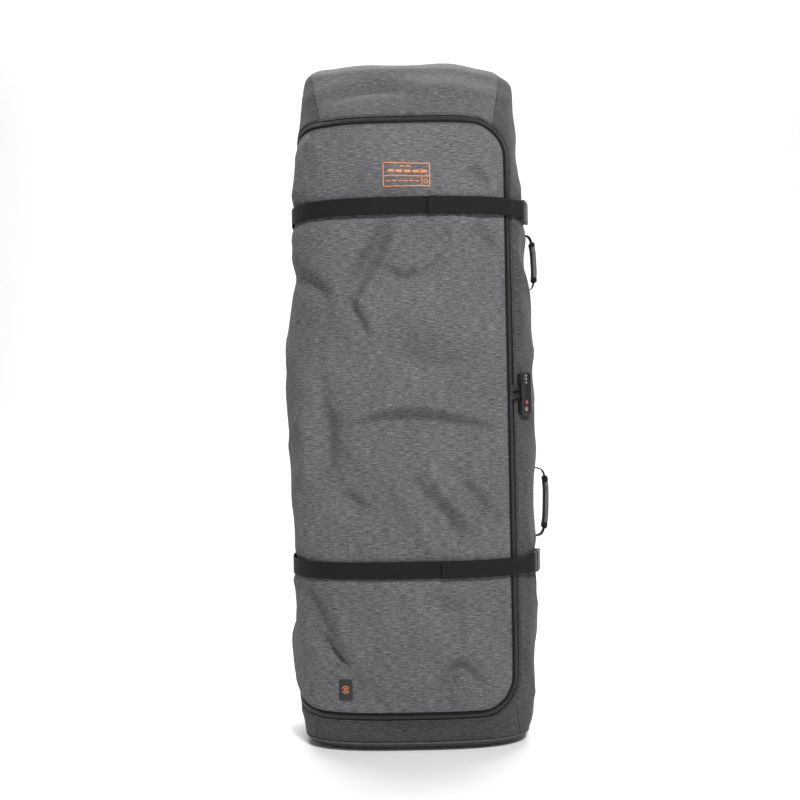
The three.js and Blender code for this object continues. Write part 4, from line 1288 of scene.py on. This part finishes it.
def carry_handle(level):
    h = HANDLES[level]
    z, half, reach = h["z"], h["half"], h["reach"]
    ends = []
    for height in (z + half, z - half):
        o = outline(height)
        ends.append(o.point(np.array([o.s_at_y(HANDLE_Y)]))[0][0])
    lean = math.atan2(ends[0] - ends[1], 2 * half)
    middle = ((ends[0] + ends[1]) / 2 + HANDLE_LIFT, HANDLE_Y, z)
    place = Matrix.Translation(middle) @ Matrix.Rotation(lean, 4, "Y")
    near = 0.8 * reach - HANDLE_LIFT
    far = reach - HANDLE_LIFT
    route = [(0, half), (near, half - 0.008), (far, half / 2), (far + 0.001, 0), (far, -half / 2),
             (near, 0.008 - half), (0, -half)]
    curve = catmull([np.array(p) for p in route])
    length = run_length(curve)

    def stretch(start, end, count):
        at = np.linspace(start, end, count) * length[-1]
        xz = np.stack([np.interp(at, length, curve[:, c]) for c in range(2)], -1)
        d = np.gradient(xz, axis=0)
        d /= np.linalg.norm(d, axis=1, keepdims=True)
        centres = np.stack([xz[:, 0], 0 * at, xz[:, 1]], -1)
        outs = np.stack([-d[:, 1], 0 * at, d[:, 0]], -1)
        outs *= np.sign(outs[:, :1] + 1e-9) if abs(outs[count // 2][0]) > 0.5 else 1
        ups = np.tile([0.0, 1.0, 0.0], (count, 1))
        return centres, ups, outs

    def placed(piece, replaced):
        piece.data.transform(place)
        return finish_piece(piece, f"{level}_handle", replaced)

    def web_width(distance):
        return 2 * np.interp(distance, [0, 0.002, 0.014], [0.0035, 0.005, HANDLE_WEB / 2])

    for end, start, stop in (("top", 0.0, 0.27), ("bottom", 1.0, 0.73)):
        centres, ups, outs = stretch(start, stop, 26)
        span = abs(stop - start) * length[-1]
        piece = swept(f"{level}_handle_webbing_{end}", centres, ups, outs,
                      lambda t, span=span: rounded_section(web_width(t * span), 0.0026), [WEBBING])
        placed(piece, [f"{level}_handle_web_{end}"])
    grip_from, grip_to = 0.2, 0.8
    centres, ups, outs = stretch(grip_from, grip_to, 60)
    outs = np.where(outs[:, :1] < 0, -outs, outs)

    def grip_section(t):
        puff = 1 - 0.35 * (abs(2 * t - 1) ** 6)
        return rounded_section(0.027 * (0.94 + 0.06 * puff), 0.0105 * puff, 0.5, 9)

    piece = swept(f"{level}_handle_padding", centres, ups, outs, grip_section, [HEATHER])
    placed(piece, [f"{level}_handle_grip"])
    inner = swept(f"{level}_handle_inner_face", centres - outs * 0.0042, ups, outs,
                  lambda t: rounded_section(0.0245, 0.0036, 0.45, 9), [WEBBING])
    placed(inner, [])
    for end, (start, stop) in {"top": (0.185, 0.255), "bottom": (0.745, 0.815)}.items():
        c, u, n = stretch(start, stop, 12)
        n = np.where(n[:, :1] < 0, -n, n)
        wrap = swept(f"{level}_handle_binding_{end}", c, u, n,
                     lambda t: rounded_section(0.0285, 0.0118 * (1 - 0.25 * abs(2 * t - 1) ** 3), 0.5, 9),
                     [WEBBING])
        placed(wrap, [])
    for end, way in (("top", 1), ("bottom", -1)):
        handle_patch(level, end, z + way * half)


def handle_patch(level, end, z):
    """A sewn-down square of webbing under the end of a handle."""
    o = outline(z)
    a, b = o.s_at_y(HANDLE_Y - 0.015), o.s_at_y(HANDLE_Y + 0.015)
    path = [(a, 0.0026), (a + 0.004, 0.0032), (b - 0.004, 0.0032), (b, 0.0026)]
    piece = path_band(f"{level}_handle_tab_{end}", z, path, 0.0265, 0.002, WEBBING, 0.0, 1)
    finish_piece(piece, "shell", [f"{level}_handle_patch_{end}"])
    sewn_box(f"{level}_handle_stitches_{end}", z, a + 0.003, b - 0.003, 0.0105, 0.0043, 7, "shell")


def end_handle():
    half, rise, y, width = 0.062, 0.024, 0.078, 0.024
    pivot = HEIGHT + 0.006
    shoulder_z, top_z = HEIGHT + rise * 0.75, HEIGHT + rise - 0.0025
    route = [(-half, pivot), (-half * 0.86, shoulder_z), (-half * 0.45, top_z), (half * 0.45, top_z),
             (half * 0.86, shoulder_z), (half, pivot)]
    curve = catmull([np.array(p) for p in route])
    d = np.gradient(curve, axis=0)
    d /= np.linalg.norm(d, axis=1, keepdims=True)
    centres = np.stack([curve[:, 0], np.full(len(curve), y), curve[:, 1]], -1)
    outs = np.stack([-d[:, 1], 0 * d[:, 0], d[:, 0]], -1)
    ups = np.tile([0.0, 1.0, 0.0], (len(curve), 1))

    def section_of(t):
        edge = min(t, 1 - t) * 0.17
        wide = 2 * np.interp(edge, [0, 0.004, 0.018], [0.0035, 0.005, width / 2])
        return rounded_section(wide, 0.0038)

    piece = swept("end_handle_webbing", centres, ups, outs, section_of, [WEBBING])
    finish_piece(piece, "end_handle", ["end_handle_strap"])
    for side, way in (("left", -1), ("right", 1)):
        x = way * half
        span = np.linspace(-0.015, 0.015, 8)
        centres = np.stack([x + span, np.full(8, y), np.full(8, HEIGHT + 0.0014)], -1)
        ups, outs = np.tile([0.0, 1.0, 0.0], (8, 1)), np.tile([0.0, 0.0, 1.0], (8, 1))
        piece = swept(f"end_handle_tab_{side}", centres, ups, outs, lambda t: rounded_section(0.03, 0.002),
                      [WEBBING])
        finish_piece(piece, "shell", [f"end_handle_patch_{side}"])
        box = [(-0.011, -0.011), (-0.011, 0.011), (0.011, 0.011), (0.011, -0.011), (-0.011, -0.011)]
        square = [(x + a, y + b, HEIGHT + 0.0025) for a, b in box]
        lines = [(edge, [(0, 0, 1)] * 2) for edge in zip(square[:-1], square[1:])]
        stitches(f"end_handle_stitches_{side}", lines, "shell")


# ---- Hardware ------------------------------------------------------------------------------------


def hardware():
    for level in ("upper", "lower"):
        for part in ("socket", "plug"):
            refine(f"{level}_buckle_{part}", PLASTIC, 0.0009, 3)
        refine(f"{level}_zip_slider", DARK_METAL, 0.0006, 2)
        refine(f"{level}_zip_puller", PLASTIC, 0.0005, 2)
    refine("lock_housing", PLASTIC, 0.0010, 3)
    refine("lock_button", PLASTIC, 0.0007, 3)
    refine("lock_key_cylinder", BRASS, 0.0004, 2)
    for i in (1, 2, 3):
        refine(f"lock_dial_{i}", DARK_METAL, 0.0005, 2)
    for side in ("left", "right"):
        refine(f"{side}_skid_rail", PLASTIC, 0.003, 4)
        refine(f"{side}_wheel_housing", PLASTIC, 0.0018, 3)
        refine(f"{side}_wheel_axle", STEEL, 0.0006, 2)
        refine(f"{side}_wheel_hub", HUB, 0.0015, 3)
        refine(f"{side}_wheel_tyre", TYRE, 0.0016, 3)
    refine("badge", BADGE, 0.0004, 2)


def piping():
    """Round cord piping over the seam between the base tray and the panels, round the front."""
    z, r = 0.021, 0.0024
    o = outline(z)
    s = np.linspace(o.s_at_y(0.064, -1), o.s_at_y(0.064), 260)
    centres, outs = surface_point(z, s, np.full(len(s), -0.0004))
    ups = np.tile([0.0, 0.0, 1.0], (len(s), 1))
    turn = np.linspace(0, 2 * math.pi, 13)[:-1]
    ring = np.stack([r * np.cos(turn), r * np.sin(turn)], -1)
    piece = swept("base_piping_cord", centres, ups, outs, lambda t: ring, [PIPING])
    finish_piece(piece, "shell", ["base_piping"])


# ---- Print and badge -----------------------------------------------------------------------------


def lid_tree():
    polygons = [tuple(f.vertices) for f in LID_FABRIC.data.polygons]
    return BVHTree.FromPolygons([v.co for v in LID_FABRIC.data.vertices], polygons)


def on_lid(tree, x, z, lift=0.0004):
    """The point of the lid's fabric straight behind a place on the front."""
    hit, normal, _, _ = tree.ray_cast(Vector((x, -1, z)), Vector((0, 1, 0)))
    if normal.y > 0:
        normal = -normal
    return hit + normal * lift


def flat_bar(x0, x1, z0, z1):
    """A bar as a grid of front places, fine enough to follow the cloth."""
    nx, nz = (max(2, int(abs(b - a) / 0.003) + 2) for a, b in ((x0, x1), (z0, z1)))
    return [[(x, z) for x in np.linspace(x0, x1, nx)] for z in np.linspace(z0, z1, nz)]


def ring_grid(x, z, inner, outer, turns=(0, 2 * math.pi)):
    angles = np.linspace(*turns, 25)
    return [[(x + r * math.cos(a), z + r * math.sin(a)) for a in angles]
            for r in (inner, (inner + outer) / 2, outer)]


def laid_print(name, grids, place, material, body):
    verts, faces = [], []
    for grid in grids:
        base, rows, columns = len(verts), len(grid), len(grid[0])
        verts += [place(x, z) for row in grid for x, z in row]
        corners = [base + i * columns + j for i in range(rows - 1) for j in range(columns - 1)]
        faces += [(c, c + 1, c + columns + 1, c + columns) for c in corners]
    piece = mesh_piece(name, verts, faces, [material])
    solid = piece.modifiers.new("ink", "SOLIDIFY")
    solid.thickness = 0.0003
    return finish_piece(piece, body, ())


def frame_print():
    """A generic outlined label: a frame, a divider, a small cell, and bars where lettering would be."""
    x0, x1, z0, z1, line = -0.0495, 0.0455, 1.157, 1.205, 0.0019
    divider, cell = 1.178, 0.028
    bars = [(x0, x1, z1 - line, z1), (x0, x1, z0, z0 + line), (x0, x0 + line, z0, z1),
            (x1 - line, x1, z0, z1), (x0, x1, divider - line / 2, divider + line / 2),
            (cell, cell + line * 0.8, z0, divider)]
    bars += [(-0.016 + k * 0.013, -0.006 + k * 0.013, 1.1965, 1.1990) for k in range(2)]
    bars += [(-0.040 + k * 0.0165, -0.0265 + k * 0.0165, 1.1850, 1.1905) for k in range(5)]
    bars += [(-0.043 + k * 0.0115, -0.0345 + k * 0.0115, 1.1668, 1.1690) for k in range(6)]
    tree = lid_tree()
    grids = [flat_bar(*bar) for bar in bars] + [ring_grid(0.0365, 1.1673, 0.0032, 0.0048)]
    laid_print("lid_frame_print", grids, lambda x, z: on_lid(tree, x, z), ORANGE, "lid")


def badge_mark():
    """A raised rim and a plain ring on the rubber badge."""
    low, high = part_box("badge")
    cx, cz = (low[0] + high[0]) / 2, (low[2] + high[2]) / 2
    badge = frame["nodes"]["badge"].data
    tree = BVHTree.FromPolygons([v.co for v in badge.vertices], [tuple(f.vertices) for f in badge.polygons])
    w, h, rim = 0.0125, 0.0195, 0.0011
    edges = [(cx - w, cx + w, cz + h - rim, cz + h), (cx - w, cx + w, cz - h, cz - h + rim),
             (cx - w, cx - w + rim, cz - h, cz + h), (cx + w - rim, cx + w, cz - h, cz + h)]

    def place(x, z):
        return on_lid(tree, x, z, 0.0002)

    laid_print("badge_rim", [flat_bar(*edge) for edge in edges], place, BADGE, "lid")
    marks = [ring_grid(cx, cz, 0.0062, 0.0078, (0.35 + k * math.pi, math.pi - 0.35 + k * math.pi))
             for k in range(2)]
    marks += [ring_grid(cx, cz, 0.0022, 0.0038)]
    laid_print("badge_mark", marks, place, ORANGE, "lid")


# ---- Lock marks, wheel bezels and rail screws ----------------------------------------------------


def local_frame(x, z):
    """A frame on the front surface: X out of the bag, Y towards the back, Z up."""
    o = outline(z)
    p, out = surface_point(z, np.array([o.s_at_x(x)]), np.array([0.0]))
    out = Vector(out[0])
    up = Vector((0, 0, 1))
    back = up.cross(out)
    return Matrix(((out.x, back.x, 0, p[0][0]), (out.y, back.y, 0, p[0][1]), (0, 0, 1, z), (0, 0, 0, 1)))


def loft_prism(name, outline_points, depth, material, place, body, slot, bevel=0.0003):
    """A flat closed outline in Y and Z, given thickness along X, with rounded edges."""
    count = len(outline_points)
    verts = [place @ Vector((x, y, z)) for x in depth for y, z in outline_points]
    faces = [tuple(range(count))[::-1], tuple(range(count, 2 * count))]
    faces += [(i, (i + 1) % count, count + (i + 1) % count, count + i) for i in range(count)]
    piece = mesh_piece(name, verts, faces, [material])
    outward_faces(piece)
    soft = piece.modifiers.new("rounded edges", "BEVEL")
    soft.width = bevel
    soft.segments = 2
    soft.limit_method = "ANGLE"
    soft.harden_normals = True
    return finish_piece(piece, body, ())


def oval(cy, cz, ry, rz, count=24):
    return [(cy + ry * math.cos(a), cz + rz * math.sin(a))
            for a in np.linspace(0, 2 * math.pi, count, endpoint=False)]


LOCK_AT = (0.228, 0.737)
LOCK_FACE = 0.014


def lock_marks():
    place = local_frame(*LOCK_AT)
    face = LOCK_FACE
    ring, marker = oval(0, -0.0175, 0.0046, 0.0056), oval(0, -0.0175, 0.0032, 0.0042)
    rim = oval(0, -0.031, 0.0062, 0.0062)
    on_shell = (place, "shell")
    loft_prism("lock_marker_ring", ring, (face - 0.0004, face + 0.0005), DARK_METAL, *on_shell, "steel")
    loft_prism("lock_marker", marker, (face, face + 0.0011), RED, *on_shell, "black_plastic")
    loft_prism("lock_key_rim", rim, (face - 0.0006, face + 0.0002), DARK_METAL, *on_shell, "steel")
    for i, z in enumerate((0.0165, -0.0085)):
        line = [(-0.0128, z - 0.0003), (0.0128, z - 0.0003), (0.0128, z + 0.0003), (-0.0128, z + 0.0003)]
        depth = (face - 0.0002, face + 0.00025)
        loft_prism(f"lock_parting_line_{i + 1}", line, depth, DARK_METAL, *on_shell, "steel", 0.0001)
    for i, z in enumerate((0.023, 0.030, 0.037)):
        tick = [(-0.0006, z - 0.0014), (0.0006, z - 0.0014), (0.0006, z + 0.0014), (-0.0006, z + 0.0014)]
        on_dial = (place, f"lock_dial_{i + 1}")
        loft_prism(f"lock_dial_digit_{i + 1}", tick, (0.0148, 0.0152), WHITE_INK, *on_dial, "steel", 0.0001)


def wheel_bezel(side, way):
    """A plastic flange over the fabric round a wheel housing, on the bag's back."""
    x0, x1, top, lip = 0.168, 0.226, 0.098, 0.008
    loops = []
    for grow, y in ((0.0, 0.0030), (0.0, 0.0050), (lip * 0.8, 0.0046), (lip, 0.0030), (lip, 0.0004)):
        a, b, c = x0 - grow, x1 + min(grow, 0.010), top + grow
        corner = 0.008
        turns = np.linspace(0, math.pi / 2, 6)
        line = [(a, 0.004), (a, c - corner)]
        line += [(a + corner * (1 - math.cos(t)), c - corner * (1 - math.sin(t))) for t in turns[1:]]
        line += [(b - corner * (1 - math.sin(t)), c - corner * (1 - math.cos(t))) for t in turns]
        line += [(b, 0.004)]
        loops.append([(way * x, float(back_y(min(x, 0.236), max(z, 0.03))) + y - 0.0005, z) for x, z in line])
    grid = np.array(loops)
    uv = grid[..., [0, 2]]
    piece = grid_mesh(f"{side}_wheel_bezel", grid, uv, [PLASTIC], 0.0015)
    outward_faces(piece)
    finish_piece(piece, "shell", ())


def screw(name, place, radius, material, body):
    """A low domed screw head with a cross slot."""
    verts, faces = [], []
    profile = [(radius, 0.0), (radius * 0.96, 0.0006), (radius * 0.7, 0.0013), (radius * 0.32, 0.0015)]
    sides = 20
    for r, h in profile:
        verts += [(h, r * math.cos(a), r * math.sin(a))
                  for a in np.linspace(0, 2 * math.pi, sides, endpoint=False)]
    for i in range(len(profile) - 1):
        a, b = i * sides, (i + 1) * sides
        faces += [(a + j, a + (j + 1) % sides, b + (j + 1) % sides, b + j) for j in range(sides)]
    slot_ring = []
    for j in range(sides):
        deep = 0.0006 if j % 5 == 0 else 0.0014
        turn = 2 * math.pi * j / sides
        slot_ring.append((deep, radius * 0.16 * math.cos(turn), radius * 0.16 * math.sin(turn)))
    base = len(verts)
    verts += slot_ring
    last = base - sides
    faces += [(last + j, last + (j + 1) % sides, base + (j + 1) % sides, base + j) for j in range(sides)]
    faces += [tuple(range(base, base + sides)), tuple(range(sides))[::-1]]
    piece = mesh_piece(name, [place @ Vector(v) for v in verts], faces, [material])
    outward_faces(piece)
    return finish_piece(piece, body, ())


def rail_screws():
    for side in ("left", "right"):
        low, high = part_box(f"{side}_skid_rail")
        for i, z in enumerate(np.linspace(low[2] + 0.04, high[2] - 0.04, 6)):
            place = Matrix(((0, 1, 0, (low[0] + high[0]) / 2), (1, 0, 0, high[1] - 0.0002), (0, 0, 1, z),
                            (0, 0, 0, 1)))
            screw(f"{side}_rail_screw_{i + 1}", place, 0.0042, STEEL, "shell")


def slump(names):
    """The soft top sags towards both corners, more on the right."""
    for name in names:
        mesh = bpy.data.objects[name].data
        co = np.zeros(len(mesh.vertices) * 3)
        mesh.vertices.foreach_get("co", co)
        co = co.reshape(-1, 3)
        sag = 0.015 * smoothstep(co[:, 0], 0.085, 0.2) + 0.005 * smoothstep(-co[:, 0], 0.09, 0.19)
        co[:, 2] -= sag * smoothstep(co[:, 2], HEIGHT - 0.22, HEIGHT - 0.03)
        mesh.vertices.foreach_set("co", co.ravel())
        mesh.update()


zip_fastener()
for strap_level, strap_height in STRAPS.items():
    strap(strap_level, strap_height)
    buckle_anchor(strap_level, strap_height)
for handle_level in HANDLES:
    carry_handle(handle_level)
end_handle()
hardware()
piping()
frame_print()
badge_mark()
lock_marks()
for bezel_side, bezel_way in (("left", -1), ("right", 1)):
    wheel_bezel(bezel_side, bezel_way)
rail_screws()
SAGGING = [
    "lid_fabric", "right_shoulder_fabric", "left_shoulder_fabric", "right_gusset_fabric",
    "left_gusset_fabric", "top_end_fabric", "back_fabric", "zip_tape_lid_cloth", "zip_tape_body_cloth",
    "zip_coil_lid", "zip_coil_body", "zip_topstitch_lid", "zip_topstitch_body",
]
slump(SAGGING)
stiffener_materials = frame["nodes"]["back_stiffener"].data.materials
stiffener_materials.clear()
stiffener_materials.append(TARPAULIN)

# ---- Stage, light and camera ---------------------------------------------------------------------

CAMERA_PLACE = (-0.024, -2.3, 0.729)
CAMERA_LENS = 47.5
CAMERA_ROLL = math.radians(-1.15)


def floor():
    """A pale floor that curves up into the backdrop."""
    profile = [(-6.0, 0.0), (2.2, 0.0)] + [(2.2 + 1.4 * math.sin(a), 1.4 - 1.4 * math.cos(a))
                                          for a in np.linspace(0.1, math.pi / 2, 12)] + [(3.6, 7.0)]
    xs = np.linspace(-7, 7, 9)
    grid = np.array([[(x, y, z) for x in xs] for y, z in profile])
    uv = grid[..., :2].copy()
    material, tree, shader = new_material("pale floor")
    coords = tree.nodes.new("ShaderNodeTexCoord")
    noise = stretched_noise(tree, coords.outputs["Object"], (3, 3, 3), 2.0, 0.5)
    tone = ramp(tree, noise, [(0.3, grey(0.86)), (0.7, grey(0.88))])
    link(tree, tone.outputs["Color"], shader.inputs["Base Color"])
    shader.inputs["Roughness"].default_value = 0.9
    piece = grid_mesh("floor", grid, uv, [material], 0.0)


def area_light(name, place, target, size, power, color=(1, 1, 1)):
    data = bpy.data.lights.new(name, "AREA")
    data.shape = "RECTANGLE"
    data.size, data.size_y = size
    data.energy = power
    data.color = color
    light = bpy.data.objects.new(name, data)
    bpy.context.scene.collection.objects.link(light)
    light.location = place
    light.rotation_euler = (Vector(target) - Vector(place)).to_track_quat("-Z", "Y").to_euler()


def studio():
    scene = bpy.context.scene
    scene.view_settings.view_transform = "Standard"
    world = bpy.data.worlds.new("studio")
    world.use_nodes = True
    world.node_tree.nodes["Background"].inputs["Color"].default_value = (1, 1, 1, 1)
    world.node_tree.nodes["Background"].inputs["Strength"].default_value = 0.14
    scene.world = world
    area_light("key", (0.7, -2.8, 2.9), (0, 0, 0.75), (0.7, 0.7), 150)
    area_light("low fill", (0.5, -3.6, 0.6), (0, 0, 0.3), (0.6, 0.6), 16)
    area_light("backdrop wash", (0, 1.2, 4.4), (0, 3.2, 1.2), (5.0, 1.0), 125)
    area_light("floor wash", (0, 0.9, 2.6), (0, 0.6, 0.0), (3.0, 0.8), 60)


def camera():
    data = bpy.data.cameras.new("camera")
    data.lens = CAMERA_LENS
    data.sensor_width = 36
    data.dof.use_dof = False
    cam = bpy.data.objects.new("camera", data)
    bpy.context.scene.collection.objects.link(cam)
    cam.matrix_world = (
        Matrix.Translation(CAMERA_PLACE)
        @ Matrix.Rotation(math.pi / 2, 4, "X")
        @ Matrix.Rotation(CAMERA_ROLL, 4, "Z")
    )
    bpy.context.scene.camera = cam


floor()
studio()
camera()
